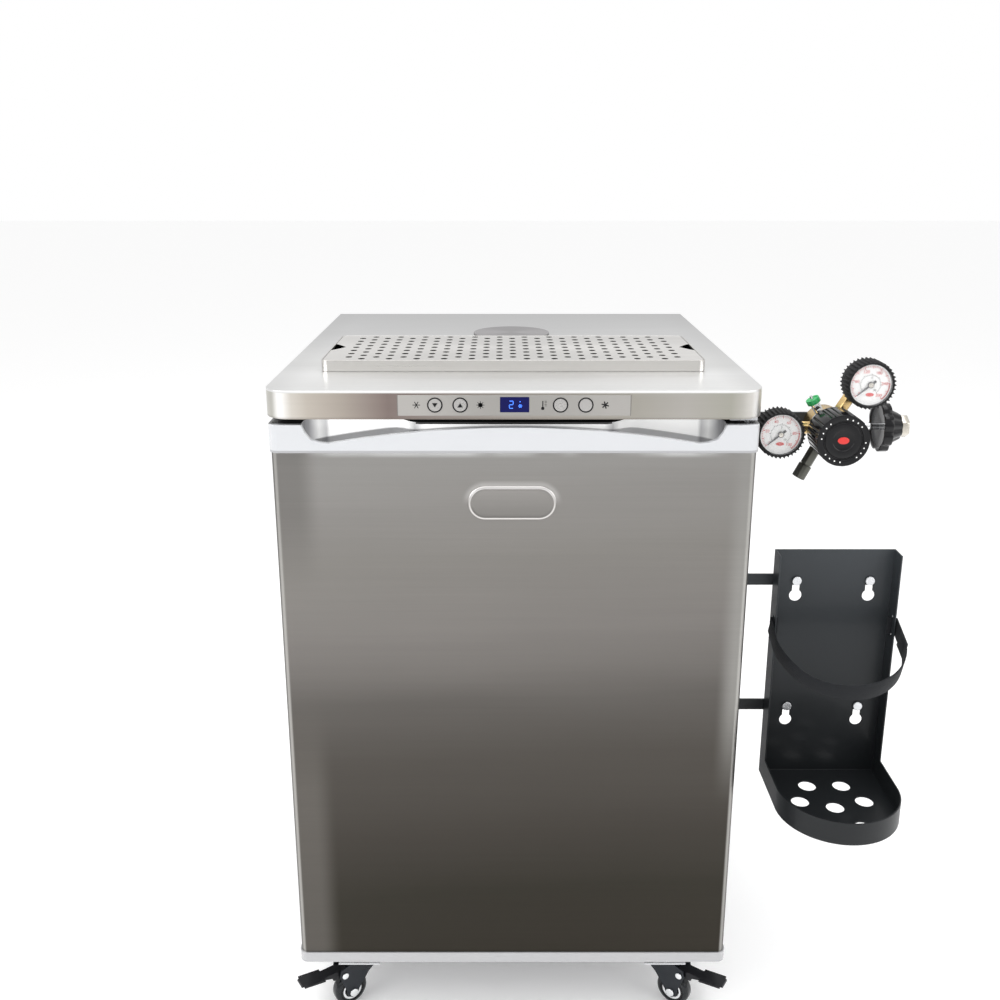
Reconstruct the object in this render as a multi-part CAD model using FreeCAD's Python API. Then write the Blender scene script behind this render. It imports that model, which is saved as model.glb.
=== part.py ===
import FreeCAD, Part
import math
import os

# Kegerator: under-counter keg cooler on four casters, with a gas-bottle holder
# and a gas regulator carried on arms at its right side.
# Working frame: X to the right from the centre line, Y back from the front edge
# of the worktop, Z up from the ground.  Millimetres.

WIDTH, DEPTH, TOP = 600.0, 650.0, 940.0
CORNER_R = 32.0
FASCIA_H = 34.5
SHEET = 1.2
GAP_TOP = 7.3
DOOR_FRONT, DOOR_BACK = 3.0, 57.0
DOOR_X, SKIN_X = 296.0, 294.0
DOOR_TOP = TOP - FASCIA_H - GAP_TOP
CAP_H = 34.7
DOOR_BOTTOM, BOTTOM_CAP_H = 129.0, 15.0
CAB_X, CAB_FRONT, CAB_BACK = 295.0, 62.0, 640.0
CAB_BOTTOM, CAB_TOP = 80.5, TOP - FASCIA_H
CAVITY_X, CAVITY_FLOOR, CAVITY_TOP, CAVITY_BACK = 250.0, 135.0, 865.0, 590.0
LINER_T = 2.0
STEP_Y, STEP_Z = 390.0, 332.0
BAY_Y, BAY_TOP, BAY_X = 412.0, 308.0, 285.0
HINGE_X, HINGE_Y, HINGE_PIN_R = 283.0, 27.0, 4.0
RUN = 0.06
TOWER_Y, TOWER_HOLE_R, COVER_R = 430.0, 38.0, 59.0
TRAY_X, TRAY_Y0, TRAY_Y1, TRAY_H, TRAY_R = 248.0, 119.0, 317.0, 15.0, 9.0
HOLE_R, HOLE_PITCH, ROW_PITCH, ROW_FIRST = 4.5, 35.8, 12.39, 131.6
HOLE_ROWS, HOLES_SHORT = 15, 12
PANEL_X, PANEL_Z0, PANEL_Z1 = 139.0, TOP - 29.5, TOP - 4.6
BUTTON_XS, BUTTON_R, BUTTON_Z = (-94.0, -64.0, 55.0, 85.0), 7.6, TOP - 16.5
BUTTON_TRAVEL = 1.5
BADGE_X0, BADGE_X1, BADGE_Z0, BADGE_Z1 = -56.0, 52.0, 778.5, 821.4
WHEEL_R, WHEEL_W, AXLE_R, TRAIL = 25.0, 19.0, 3.0, 22.0
PLATE_Z = 78.0
CASTER_X, CASTER_FRONT_Y, CASTER_REAR_Y, CASTER_TURN = 222.0, 84.0, 590.0, 33.0
KINGPIN_R = 6.0
PEDAL_U, PEDAL_Z, PEDAL_PIN_R = 34.0, 59.0, 3.0
HOLDER_X0, HOLDER_X1, HOLDER_Y = 356.0, 520.0, 122.0
HOLDER_Z0, HOLDER_Z1, HOLDER_T = 355.0, 695.0, 2.0
HOLDER_CX = (HOLDER_X0 + HOLDER_X1) / 2
HOLDER_REACH, HOLDER_RIM, FLANGE = 175.0, 32.0, 26.0
KEY_X, KEY_TOP, KEY_LOW = 50.0, 650.0, 460.0
STRAP_DROOP = 22.0
ARM_T, ARM_H = 4.0, 16.0
REG_X, REG_Y, REG_Z = 409.0, 118.0, 868.0
KNOB_R, KNOB_Y0, KNOB_Y1 = 33.0, 42.0, 88.0
GAUGE_R, GAUGE_DEPTH = 31.0, 30.0
GAUGE_LOW = (339.0, 868.0)
GAUGE_HIGH = (447.0, 932.0)
GAUGE_Y0 = 70.0
FAN_Z, FAN_R = 735.0, 50.0
PORT_X, PORT_Z, PORT_R = 190.0, 800.0, 8.0

V = FreeCAD.Vector
X, Y, Z = V(1, 0, 0), V(0, 1, 0), V(0, 0, 1)


def box(x0, x1, y0, y1, z0, z1):
    return Part.makeBox(x1 - x0, y1 - y0, z1 - z0, V(x0, y0, z0))


def rod(radius, start, direction, length):
    return Part.makeCylinder(radius, length, V(*start), direction)


def tube(outer, inner, start, direction, length):
    return rod(outer, start, direction, length).cut(rod(inner, start, direction, length))


def prism(points, direction):
    wire = Part.makePolygon([V(*p) for p in points] + [V(*points[0])])
    return Part.Face(wire).extrude(direction)


def round_upright(shape, radius, chosen=lambda x, y: True):
    """Round the vertical edges whose place passes the test."""
    edges = []
    for edge in shape.Edges:
        a, b = edge.Vertexes[0].Point, edge.Vertexes[-1].Point
        if abs(a.x - b.x) < 1e-6 and abs(a.y - b.y) < 1e-6 and chosen(a.x, a.y):
            edges.append(edge)
    return shape.makeFillet(radius, edges)


def merge(shapes):
    first = shapes[0]
    return first.fuse(shapes[1:]).removeSplitter() if len(shapes) > 1 else first


def hexagon(across, start, direction, length):
    """Hexagonal bar with the given width across its flats."""
    radius = across / math.sqrt(3)
    side = V(0, 0, 1) if abs(direction.z) < 0.9 else V(1, 0, 0)
    other = direction.cross(side)
    base = V(*start)
    ring = []
    for i in range(6):
        a = math.radians(60 * i)
        ring.append(base + side * (radius * math.cos(a)) + other * (radius * math.sin(a)))
    return Part.Face(Part.makePolygon(ring + [ring[0]])).extrude(direction * length)


def spin(profile, point, direction):
    """Solid of revolution from a closed list of points."""
    wire = Part.makePolygon([V(*p) for p in profile] + [V(*profile[0])])
    return Part.Face(wire).revolve(V(*point), direction, 360)


nodes = {}

# ---------------------------------------------------------------- cabinet
panel_z0, panel_z1 = CAB_BOTTOM + 1.5, CAB_TOP
for name, side in (("side_panel_left", -1), ("side_panel_right", 1)):
    outer = side * CAB_X
    inner = side * (CAB_X - SHEET)
    lip = side * (CAB_X - 20.0)
    lo, hi = sorted((outer, inner))
    wall = box(lo, hi, CAB_FRONT, CAB_BACK, panel_z0, panel_z1)
    lo, hi = sorted((outer, lip))
    fold = box(lo, hi, CAB_FRONT, CAB_FRONT + SHEET, panel_z0, panel_z1)
    nodes[name] = merge([wall, fold])

liner_outer = [(STEP_Y + LINER_T, CAVITY_FLOOR - LINER_T), (STEP_Y + LINER_T, STEP_Z - LINER_T),
               (CAVITY_BACK + LINER_T, STEP_Z - LINER_T), (CAVITY_BACK + LINER_T, CAVITY_TOP + LINER_T),
               (CAB_FRONT + SHEET, CAVITY_TOP + LINER_T), (CAB_FRONT + SHEET, CAVITY_FLOOR - LINER_T)]
liner_x = CAVITY_X + LINER_T
liner_block = prism([(-liner_x, y, z) for y, z in liner_outer], X * (2 * liner_x))
tower_bore = rod(TOWER_HOLE_R, (0, TOWER_Y, CAVITY_TOP - 20), Z, TOP - CAVITY_TOP + 40)
port_bore = rod(PORT_R + 6, (PORT_X, CAVITY_BACK - 10, PORT_Z), Y, 80)
lx, t, y0 = CAVITY_X, LINER_T, CAB_FRONT + SHEET
way = TOWER_HOLE_R
port = PORT_R + 1
liner = []
for side in (-1, 1):
    low, high = sorted((side * lx, side * (lx + t)))
    liner.append(box(low, high, y0, STEP_Y + t, CAVITY_FLOOR - t, STEP_Z - t))
    liner.append(box(low, high, y0, CAVITY_BACK + t, STEP_Z - t, CAVITY_TOP + t))
    low, high = sorted((side * lx, side * (CAB_X - 20)))
    liner.append(box(low, high, CAB_FRONT, y0, panel_z0, panel_z1))
    low, high = sorted((side * way, side * lx))
    liner.append(box(low, high, y0, CAVITY_BACK + t, CAVITY_TOP, CAVITY_TOP + t))
liner.append(box(-way, way, y0, TOWER_Y - way, CAVITY_TOP, CAVITY_TOP + t))
liner.append(box(-way, way, TOWER_Y + way, CAVITY_BACK + t, CAVITY_TOP, CAVITY_TOP + t))
liner.append(box(-lx, lx, y0, STEP_Y + t, CAVITY_FLOOR - t, CAVITY_FLOOR))
liner.append(box(-lx, lx, STEP_Y, STEP_Y + t, CAVITY_FLOOR, STEP_Z - t))
liner.append(box(-lx, lx, STEP_Y, CAVITY_BACK + t, STEP_Z - t, STEP_Z))
back_y0, back_y1 = CAVITY_BACK, CAVITY_BACK + t
liner.append(box(-lx, PORT_X - port, back_y0, back_y1, STEP_Z, CAVITY_TOP))
liner.append(box(PORT_X + port, lx, back_y0, back_y1, STEP_Z, CAVITY_TOP))
liner.append(box(PORT_X - port, PORT_X + port, back_y0, back_y1, STEP_Z, PORT_Z - port))
liner.append(box(PORT_X - port, PORT_X + port, back_y0, back_y1, PORT_Z + port, CAVITY_TOP))
liner.append(box(-lx, lx, CAB_FRONT, y0, panel_z0, CAVITY_FLOOR))
liner.append(box(-lx, lx, CAB_FRONT, y0, CAVITY_TOP, panel_z1))
nodes["inner_liner"] = Part.makeCompound(liner)
bay = box(-BAY_X, BAY_X, BAY_Y, CAB_BACK + 5, CAB_BOTTOM, BAY_TOP)
foam = box(-CAB_X + SHEET, CAB_X - SHEET, CAB_FRONT + SHEET, CAB_BACK - SHEET, panel_z0, panel_z1)
nodes["cabinet_foam"] = foam.cut([liner_block, bay, tower_bore, port_bore])
rear = box(-CAB_X + SHEET, CAB_X - SHEET, CAB_BACK - SHEET, CAB_BACK, BAY_TOP, panel_z1)
nodes["rear_panel"] = rear.cut([port_bore])
nodes["base_pan"] = box(-CAB_X, CAB_X, CAB_FRONT, CAB_BACK, CAB_BOTTOM, CAB_BOTTOM + 1.5)

# worktop: pressed steel skin round a moulded core
skin = box(-WIDTH / 2, WIDTH / 2, 0, DEPTH, CAB_TOP, TOP)
skin = round_upright(skin, CORNER_R, lambda x, y: y < 1)
inside = box(-WIDTH / 2 + SHEET, WIDTH / 2 - SHEET, SHEET, DEPTH - SHEET, CAB_TOP, TOP - SHEET)
inside = round_upright(inside, CORNER_R - SHEET, lambda x, y: y < 2)
window = box(-PANEL_X + 7, PANEL_X - 7, -1, 24, PANEL_Z0 + 3.5, PANEL_Z1 - 3.5)
nodes["worktop"] = skin.cut([inside, window, tower_bore])
nodes["worktop_core"] = inside.cut([window, tower_bore])

# control panel with four push buttons and a display window
plate_back = 0.0
plate = box(-PANEL_X, PANEL_X, -1.5, plate_back, PANEL_Z0, PANEL_Z1)
housing = box(-PANEL_X + 7, PANEL_X - 7, plate_back, 22, PANEL_Z0 + 3.5, PANEL_Z1 - 3.5)
display = box(-16.6, 17.8, -1.7, -0.2, TOP - 25.2, TOP - 6.9)
cuts = [display]
for bx in BUTTON_XS:
    cuts.append(rod(BUTTON_R + 0.3, (bx, -2, BUTTON_Z), Y, 14))
    cuts.append(rod(8.7, (bx, 0.8, BUTTON_Z), Y, 11.2))
nodes["control_panel"] = merge([plate, housing]).cut(cuts)
nodes["display_window"] = display
for label, bx in zip(("down", "up", "unit", "fan"), BUTTON_XS):
    key = rod(BUTTON_R, (bx, -2.6, BUTTON_Z), Y, 8.6)
    collar = rod(8.4, (bx, 1.2, BUTTON_Z), Y, 1.4)
    nodes["button_" + label] = merge([key, collar])

# keg floor, evaporator and its fan
nodes["keg_floor"] = box(-CAVITY_X + 4, CAVITY_X - 4, 72, STEP_Y - 4, CAVITY_FLOOR, CAVITY_FLOOR + 2)
cover = box(-150, 150, 545, CAVITY_BACK, 615, 845).cut(box(-148, 148, 547, CAVITY_BACK, 617, 843))
vents = [rod(FAN_R + 4, (0, 540, FAN_Z), Y, 12)]
for i in range(8):
    for side in (-1, 1):
        x = side * 105
        vents.append(box(x - 30, x + 30, 540, 550, 640 + 24 * i, 648 + 24 * i))
nodes["evaporator_cover"] = cover.cut(vents)
plates = [box(-125 + 20 * i, -123.6 + 20 * i, 566, 584, 635, 828) for i in range(13)]
pipes = [rod(4, (-140, 575, 650 + 32 * i), X, 280) for i in range(6)]
nodes["evaporator"] = merge(plates + pipes + [box(-10, 10, 562, 584, FAN_Z - 10, FAN_Z + 10),
                                              rod(2.4, (0, 549, FAN_Z), Y, 14)])
fan = [tube(16, 2.45, (0, 548, FAN_Z), Y, 11)]
for i in range(5):
    blade = box(14, FAN_R, 552, 554, FAN_Z - 13, FAN_Z + 13)
    blade.rotate(V(32, 553, FAN_Z), X, 20)
    blade.rotate(V(0, 553, FAN_Z), Y, 72 * i)
    fan.append(blade)
nodes["fan_rotor"] = merge(fan)

# compressor, condenser and rear grille in the machine bay
bay_floor = CAB_BOTTOM + 1.5
can = rod(68, (-110, 520, bay_floor + 14), Z, 150)
can = can.makeFillet(26, [e for e in can.Edges if len(e.Vertexes) == 1])
feet = [box(-190, -30, 450, 475, bay_floor + 6, bay_floor + 18), box(-190, -30, 565, 590, bay_floor + 6, bay_floor + 18)]
studs = [rod(7, (x, y, bay_floor), Z, 7) for x in (-175, -45) for y in (462, 577)]
nodes["compressor"] = merge([can] + feet + studs)
fins = [box(50 + 14 * i, 51.2 + 14 * i, 560, 612, bay_floor, 290) for i in range(15)]
coils = [rod(3, (44, y, 100 + 30 * i), X, 212) for i in range(6) for y in (572, 600)]
nodes["condenser"] = merge(fins + coils)
grille = box(-CAB_X + SHEET, CAB_X - SHEET, CAB_BACK - SHEET, CAB_BACK, bay_floor, BAY_TOP)
louvres = [box(-220 + 150 * i, -100 + 150 * i, CAB_BACK - 5, CAB_BACK + 5, 120 + 22 * j, 127 + 22 * j)
           for i in range(3) for j in range(8)]
nodes["rear_grille"] = grille.cut(louvres)
inlet = box(-262, -232, CAB_BACK, CAB_BACK + 8, 340, 366)
pocket = box(-258, -236, CAB_BACK + 2, CAB_BACK + 9, 344, 362)
prongs = [box(-248.5 + dx, -245.5 + dx, CAB_BACK + 2, CAB_BACK + 7, 350 + dz, 356 + dz)
          for dx, dz in ((-6, 0), (0, 3), (6, 0))]
nodes["power_inlet"] = merge([inlet.cut(pocket)] + prongs)
grommet = merge([tube(PORT_R + 6, PORT_R, (PORT_X, back_y1, PORT_Z), Y, CAB_BACK - back_y1),
                 tube(PORT_R + 11, PORT_R, (PORT_X, CAB_BACK, PORT_Z), Y, 3)])
nodes["gas_grommet"] = grommet
heads = []
for x in (-270, -90, 90, 270):
    for z in (BAY_TOP - 10, BAY_TOP + 12, panel_z1 - 14):
        heads.append(rod(4.5, (x, CAB_BACK, z), Y, 2.2))
nodes["panel_screws"] = Part.makeCompound(heads)

# hinges
pin_top = rod(HINGE_PIN_R, (HINGE_X, HINGE_Y, DOOR_TOP - 22), Z, 26)
arm_top = box(HINGE_X - 22, HINGE_X + 11, HINGE_Y - 11, 90, DOOR_TOP + 2.0, CAB_TOP)
arm_top = arm_top.cut(box(-CAB_X, CAB_X, CAB_FRONT, 100, CAB_BOTTOM, CAB_TOP - 0.0))
hook_top = merge([arm_top, pin_top])
nodes["top_hinge"] = hook_top
pin_low = rod(HINGE_PIN_R, (HINGE_X, HINGE_Y, DOOR_BOTTOM - 8), Z, 22)
arm_low = box(HINGE_X - 30, HINGE_X + 11, HINGE_Y - 11, CAB_FRONT, DOOR_BOTTOM - 8, DOOR_BOTTOM - 3)
foot_low = box(HINGE_X - 30, HINGE_X + 11, CAB_FRONT - 4, CAB_FRONT, DOOR_BOTTOM - 38, DOOR_BOTTOM - 3)
nodes["bottom_hinge"] = merge([arm_low, foot_low, pin_low])

# ---------------------------------------------------------------- door
skin_z0, skin_z1 = DOOR_BOTTOM + BOTTOM_CAP_H, DOOR_TOP - CAP_H
front_corner = lambda x, y: y < DOOR_FRONT + 3
full = round_upright(box(-SKIN_X, SKIN_X, DOOR_FRONT, DOOR_BACK - 5, skin_z0, skin_z1), 10, front_corner)
core = round_upright(box(-SKIN_X + SHEET, SKIN_X - SHEET, DOOR_FRONT + SHEET, DOOR_BACK - 5, skin_z0, skin_z1),
                     10 - SHEET, front_corner)
nodes["door_skin"] = full.cut(core)

cap = round_upright(box(-DOOR_X, DOOR_X, DOOR_FRONT - 2, DOOR_BACK - 5, skin_z1, DOOR_TOP), 12,
                    lambda x, y: y < DOOR_FRONT)
lip_back = DOOR_FRONT + 5
pocket_floor = DOOR_TOP - 30
side_line = [(256, lip_back), (256, 28), (252, 36), (244, 41), (232, 43), (154, 43), (144, 40), (135, 33), (128, 25),
             (122, 20), (113, 17)]
pull_line = side_line + [(-x, y) for x, y in reversed(side_line)]
pull = [prism([(x, y, pocket_floor) for x, y in pull_line], Z * (DOOR_TOP + 1 - pocket_floor))]
lip = [(-255, DOOR_TOP + 1), (-255, DOOR_TOP), (-251, DOOR_TOP - 9.2), (-244, DOOR_TOP - 18.2), (-233, DOOR_TOP - 21.6)]
for i in range(-12, 13):
    x = 223.0 * i / 12
    lip.append((x, DOOR_TOP - 3.1 - 19.5 * (x / 223.0) ** 2))
lip += [(-x, z) for x, z in reversed(lip[:5])]
mouth = prism([(x, DOOR_FRONT - 5, z) for x, z in lip], Y * (lip_back - DOOR_FRONT + 6))
bore_top = rod(HINGE_PIN_R + RUN, (HINGE_X, HINGE_Y, DOOR_TOP - 24), Z, 30)
nodes["door_top_cap"] = cap.cut(pull + [mouth, bore_top])

bottom = round_upright(box(-DOOR_X, DOOR_X, DOOR_FRONT - 2, DOOR_BACK - 5, DOOR_BOTTOM, skin_z0), 12,
                       lambda x, y: y < DOOR_FRONT)
bore_low = rod(HINGE_PIN_R + RUN, (HINGE_X, HINGE_Y, DOOR_BOTTOM - 1), Z, 16.5)
nodes["door_bottom_cap"] = bottom.cut(bore_low)
nodes["door_foam"] = core.cut(rod(HINGE_PIN_R + 1, (HINGE_X, HINGE_Y, skin_z0 - 1), Z, 4))
back_plate = box(-SKIN_X + 2, SKIN_X - 2, DOOR_BACK - 5, DOOR_BACK - 2, DOOR_BOTTOM + 1, DOOR_TOP - 1)
dyke = box(-232, 232, DOOR_BACK - 2, DOOR_BACK + 18, 170, 845)
dish = box(-210, 210, DOOR_BACK + 2, DOOR_BACK + 19, 192, 823)
nodes["door_liner"] = merge([back_plate, dyke.cut(dish)])
seal_x0, seal_x1, seal_z0, seal_z1 = 262, 284, 136, 892
seal = box(-seal_x1, seal_x1, DOOR_BACK - 2, CAB_FRONT - 0.4, seal_z0, seal_z1)
nodes["door_gasket"] = seal.cut(box(-seal_x0, seal_x0, DOOR_BACK - 3, CAB_FRONT, seal_z0 + 22, seal_z1 - 22))
badge = box(BADGE_X0, BADGE_X1, DOOR_FRONT - 2.2, DOOR_FRONT, BADGE_Z0, BADGE_Z1)
badge = badge.makeFillet(20, [e for e in badge.Edges
                              if abs(e.Vertexes[0].Point.y - e.Vertexes[-1].Point.y) > 1])
nodes["door_badge"] = badge

# ---------------------------------------------------------------- drip tray
tray_z0 = TOP + 0.3
tray = round_upright(box(-TRAY_X, TRAY_X, TRAY_Y0, TRAY_Y1, tray_z0, TOP + TRAY_H), TRAY_R)
well = round_upright(box(-TRAY_X + 1.5, TRAY_X - 1.5, TRAY_Y0 + 1.5, TRAY_Y1 - 1.5, tray_z0 + 1.5, TOP + TRAY_H + 1),
                     TRAY_R - 1.5)
nodes["drip_tray"] = tray.cut(well)
grate = round_upright(box(-TRAY_X + 2, TRAY_X - 2, TRAY_Y0 + 2, TRAY_Y1 - 2, TOP + TRAY_H - 1.7, TOP + TRAY_H - 0.2),
                      TRAY_R - 2)
grate_legs = [rod(4, (x, y, tray_z0 + 1.8), Z, TRAY_H - 3.8) for x in (-232, 0, 232) for y in (TRAY_Y0 + 7, TRAY_Y1 - 7)]
holes = []
for row in range(HOLE_ROWS):
    count = HOLES_SHORT + row % 2
    for i in range(count):
        x = (i - (count - 1) / 2) * HOLE_PITCH
        holes.append(rod(HOLE_R, (x, ROW_FIRST + ROW_PITCH * row, TOP + TRAY_H - 4), Z, 6))
tray_mid = (TRAY_Y0 + TRAY_Y1) / 2 + 2
for side in (-1, 1):
    notch = [(side * 247, tray_mid - 26), (side * 247, tray_mid + 26), (side * 240, tray_mid + 18), (side * 232, tray_mid + 5),
             (side * 229, tray_mid), (side * 232, tray_mid - 5), (side * 240, tray_mid - 18)]
    holes.append(prism([(x, y, TOP + TRAY_H - 4) for x, y in notch], Z * 6))
nodes["drip_grate"] = Part.makeCompound([grate.cut(Part.makeCompound(holes))] + grate_legs)
lid = rod(COVER_R, (0, TOWER_Y, TOP + 0.3), Z, 2.2)
spigot = rod(TOWER_HOLE_R - 1.0, (0, TOWER_Y, TOP - 14), Z, 14.5)
nodes["tower_cover"] = merge([lid, spigot])

# ---------------------------------------------------------------- casters
places = (("front_left", -CASTER_X, CASTER_FRONT_Y, 180 + CASTER_TURN),
          ("front_right", CASTER_X, CASTER_FRONT_Y, -CASTER_TURN),
          ("rear_left", -CASTER_X, CASTER_REAR_Y, 180 - CASTER_TURN),
          ("rear_right", CASTER_X, CASTER_REAR_Y, CASTER_TURN))


def place(shape, x, y, turn):
    """Move a caster part from its own frame, wheel trailing along +X, to its corner."""
    moved = shape.copy()
    moved.rotate(V(0, 0, 0), Z, turn)
    moved.translate(V(x, y, 0))
    return moved


cheek_y = WHEEL_W / 2 + 1.6
cheek_side = [(-18, 74), (24, 74), (40, 68), (42, 58), (32, 30), (30, 20), (24, 16), (16, 18), (13, 26), (-4, 50), (-18, 62)]
cheeks = [prism([(u, y, z) for u, z in cheek_side], Y * 2.4) for y in (cheek_y, -cheek_y - 2.4)]
crown = rod(19, (0, 0, 68), Z, 7.5)
bridge = box(-18, 20, -cheek_y - 1, cheek_y + 1, 66, 74)
axle = rod(AXLE_R, (TRAIL, -cheek_y - 2.4, WHEEL_R), Y, 2 * cheek_y + 4.8)
nuts = [rod(5.5, (TRAIL, s * (cheek_y + 2.4) - (3 if s < 0 else 0), WHEEL_R), Y, 3) for s in (-1, 1)]
pedal_pin = rod(PEDAL_PIN_R, (PEDAL_U, -cheek_y - 2.4, PEDAL_Z), Y, 2 * cheek_y + 4.8)
pedal_nuts = [rod(4.5, (PEDAL_U, s * (cheek_y + 2.4) - (2.4 if s < 0 else 0), PEDAL_Z), Y, 2.4) for s in (-1, 1)]
kingpin_hole = rod(KINGPIN_R + RUN, (0, 0, 60), Z, 20)
head_room = rod(10.5, (0, 0, 50), Z, 20)
fork_plain = merge(cheeks + [crown, bridge]).cut([kingpin_hole, head_room])
fork_plain = merge([fork_plain, axle] + nuts)
fork_brake = merge([fork_plain, pedal_pin] + pedal_nuts)

h = WHEEL_W / 2
tyre_profile = [(17, -h), (21.5, -h), (23.6, -h + 1.2), (24.7, -h + 3.4), (25, -h + 6), (25, h - 6), (24.7, h - 3.4),
                (23.6, h - 1.2), (21.5, h), (17, h)]
hub_profile = [(AXLE_R + RUN, -h - 0.6), (7, -h - 0.6), (7, -h + 3), (13, -h + 3), (14, -h + 0.4), (17, -h + 0.4),
               (17, h - 0.4), (14, h - 0.4), (13, h - 3), (7, h - 3), (7, h + 0.6), (AXLE_R + RUN, h + 0.6)]
wheel_at = (TRAIL, 0, WHEEL_R)
tyre = spin([(TRAIL + r, y, WHEEL_R) for r, y in tyre_profile], wheel_at, Y)
hub = spin([(TRAIL + r, y, WHEEL_R) for r, y in hub_profile], wheel_at, Y)
wheel = merge([tyre, hub])

lever_side = [(PEDAL_U - 7, PEDAL_Z - 1), (PEDAL_U - 5, PEDAL_Z + 6), (PEDAL_U + 6, PEDAL_Z + 7), (62, PEDAL_Z + 6),
              (98, PEDAL_Z + 9), (99, PEDAL_Z + 6), (64, PEDAL_Z + 2), (52, PEDAL_Z - 1), (50, PEDAL_Z - 6),
              (PEDAL_U + 4, PEDAL_Z - 6)]
lever = prism([(u, -8.5, z) for u, z in lever_side], Y * 17)
pad = prism([(64, -13, PEDAL_Z + 3), (64, -13, PEDAL_Z + 6), (96, -13, PEDAL_Z + 9), (96, -13, PEDAL_Z + 6.5)], Y * 26)
pedal = merge([lever, pad]).cut(rod(PEDAL_PIN_R + RUN, (PEDAL_U, -20, PEDAL_Z), Y, 40))

mounts = []
for label, x, y, turn in places:
    base = box(-30, 30, -30, 30, PLATE_Z, CAB_BOTTOM)
    pin = rod(KINGPIN_R, (0, 0, 62), Z, PLATE_Z - 62)
    pin_head = rod(9.5, (0, 0, 62), Z, 5.5)
    unit = merge([base, pin, pin_head])
    unit.translate(V(x, y, 0))
    mounts.append(unit)
    nodes["caster_fork_" + label] = place(fork_brake if "front" in label else fork_plain, x, y, turn)
    nodes["caster_wheel_" + label] = place(wheel, x, y, turn)
    if "front" in label:
        nodes["brake_pedal_" + label[6:]] = place(pedal, x, y, turn)
nodes["caster_plates"] = Part.makeCompound(mounts)

# ---------------------------------------------------------------- bottle holder
bracket_y = HOLDER_Y + HOLDER_T
arms = []
for z in (KEY_TOP, KEY_LOW):
    arm = box(CAB_X, HOLDER_X1 - 15, bracket_y + 0.5, bracket_y + 0.5 + ARM_T, z - ARM_H / 2, z + ARM_H / 2)
    leg = box(CAB_X, CAB_X + ARM_T, bracket_y + 0.5, bracket_y + 70, z - ARM_H / 2, z + ARM_H / 2)
    arms.append(merge([arm, leg]))
screws, keyholes = [], []
for x in (HOLDER_CX - KEY_X, HOLDER_CX + KEY_X):
    for z in (KEY_TOP, KEY_LOW):
        shank = rod(3.0, (x, HOLDER_Y - 1.0, z), Y, HOLDER_T + 1.5)
        screws.append(merge([shank, rod(6.5, (x, HOLDER_Y - 3.5, z), Y, 2.8)]))
        keyholes.append(rod(8.5, (x, HOLDER_Y - 1, z - 22), Y, 5))
        keyholes.append(rod(5.0, (x, HOLDER_Y - 1, z), Y, 5))
        keyholes.append(box(x - 5.0, x + 5.0, HOLDER_Y - 1, HOLDER_Y + 4, z - 22, z))
nodes["holder_screws"] = Part.makeCompound(screws)
sheet = box(HOLDER_X0, HOLDER_X1, HOLDER_Y, bracket_y, HOLDER_Z0, HOLDER_Z1)
slots = []
wings = []
strap_z, strap_h = 590.0, 25.0
for x0 in (HOLDER_X0, HOLDER_X1 - HOLDER_T):
    wings.append(box(x0, x0 + HOLDER_T, HOLDER_Y - FLANGE, HOLDER_Y, HOLDER_Z0, HOLDER_Z1))
    slots.append(box(x0 - 1, x0 + 3, HOLDER_Y - 17, HOLDER_Y - 12, strap_z - 15, strap_z + 15))
radius = (HOLDER_X1 - HOLDER_X0) / 2
front_y = HOLDER_Y - HOLDER_REACH + radius


def u_shape(inset, z0, z1):
    """Round-nosed tray outline, straight at the back."""
    r = radius - inset
    straight = box(HOLDER_CX - r, HOLDER_CX + r, front_y, bracket_y - inset, z0, z1)
    return merge([straight, rod(r, (HOLDER_CX, front_y, z0), Z, z1 - z0)])


tub = u_shape(0, HOLDER_Z0, HOLDER_Z0 + HOLDER_RIM).cut(
    u_shape(HOLDER_T, HOLDER_Z0 + HOLDER_T, HOLDER_Z0 + HOLDER_RIM + 1))
floor_holes = [rod(12, (HOLDER_CX + dx, front_y + dy, HOLDER_Z0 - 1), Z, 5)
               for dx, dy in ((0, 0), (-44, 14), (44, 14), (-24, -44), (24, -44), (-24, 52), (24, 52))]
nodes["bottle_holder"] = merge([sheet, tub] + wings).cut(keyholes + slots + floor_holes)
strap_t = 2.0
strap_r = radius + 4.5
strap_y = HOLDER_Y - 46
outer = merge([box(HOLDER_CX - strap_r, HOLDER_CX + strap_r, strap_y, HOLDER_Y - 13, strap_z - strap_h / 2,
                   strap_z + strap_h / 2), rod(strap_r, (HOLDER_CX, strap_y, strap_z - strap_h / 2), Z, strap_h)])
inner_r = strap_r - strap_t
inner = merge([box(HOLDER_CX - inner_r, HOLDER_CX + inner_r, strap_y, HOLDER_Y - 1, strap_z - 20, strap_z + 20),
               rod(inner_r, (HOLDER_CX, strap_y, strap_z - 20), Z, 40)])
ties = []
for s in (-1, 1):
    lo, hi = sorted((HOLDER_CX + s * (radius - 7), HOLDER_CX + s * strap_r))
    ties.append(box(lo, hi, HOLDER_Y - 16, HOLDER_Y - 13, strap_z - strap_h / 2, strap_z + strap_h / 2))
behind = box(HOLDER_X0 - 9, HOLDER_X1 + 9, HOLDER_Y - 13, HOLDER_Y + 60, strap_z - 30, strap_z + 30)
band = outer.cut([inner, behind])
band.rotate(V(HOLDER_CX, HOLDER_Y - 14, strap_z), X, STRAP_DROOP)
nodes["holder_strap"] = merge([band] + ties)

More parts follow.
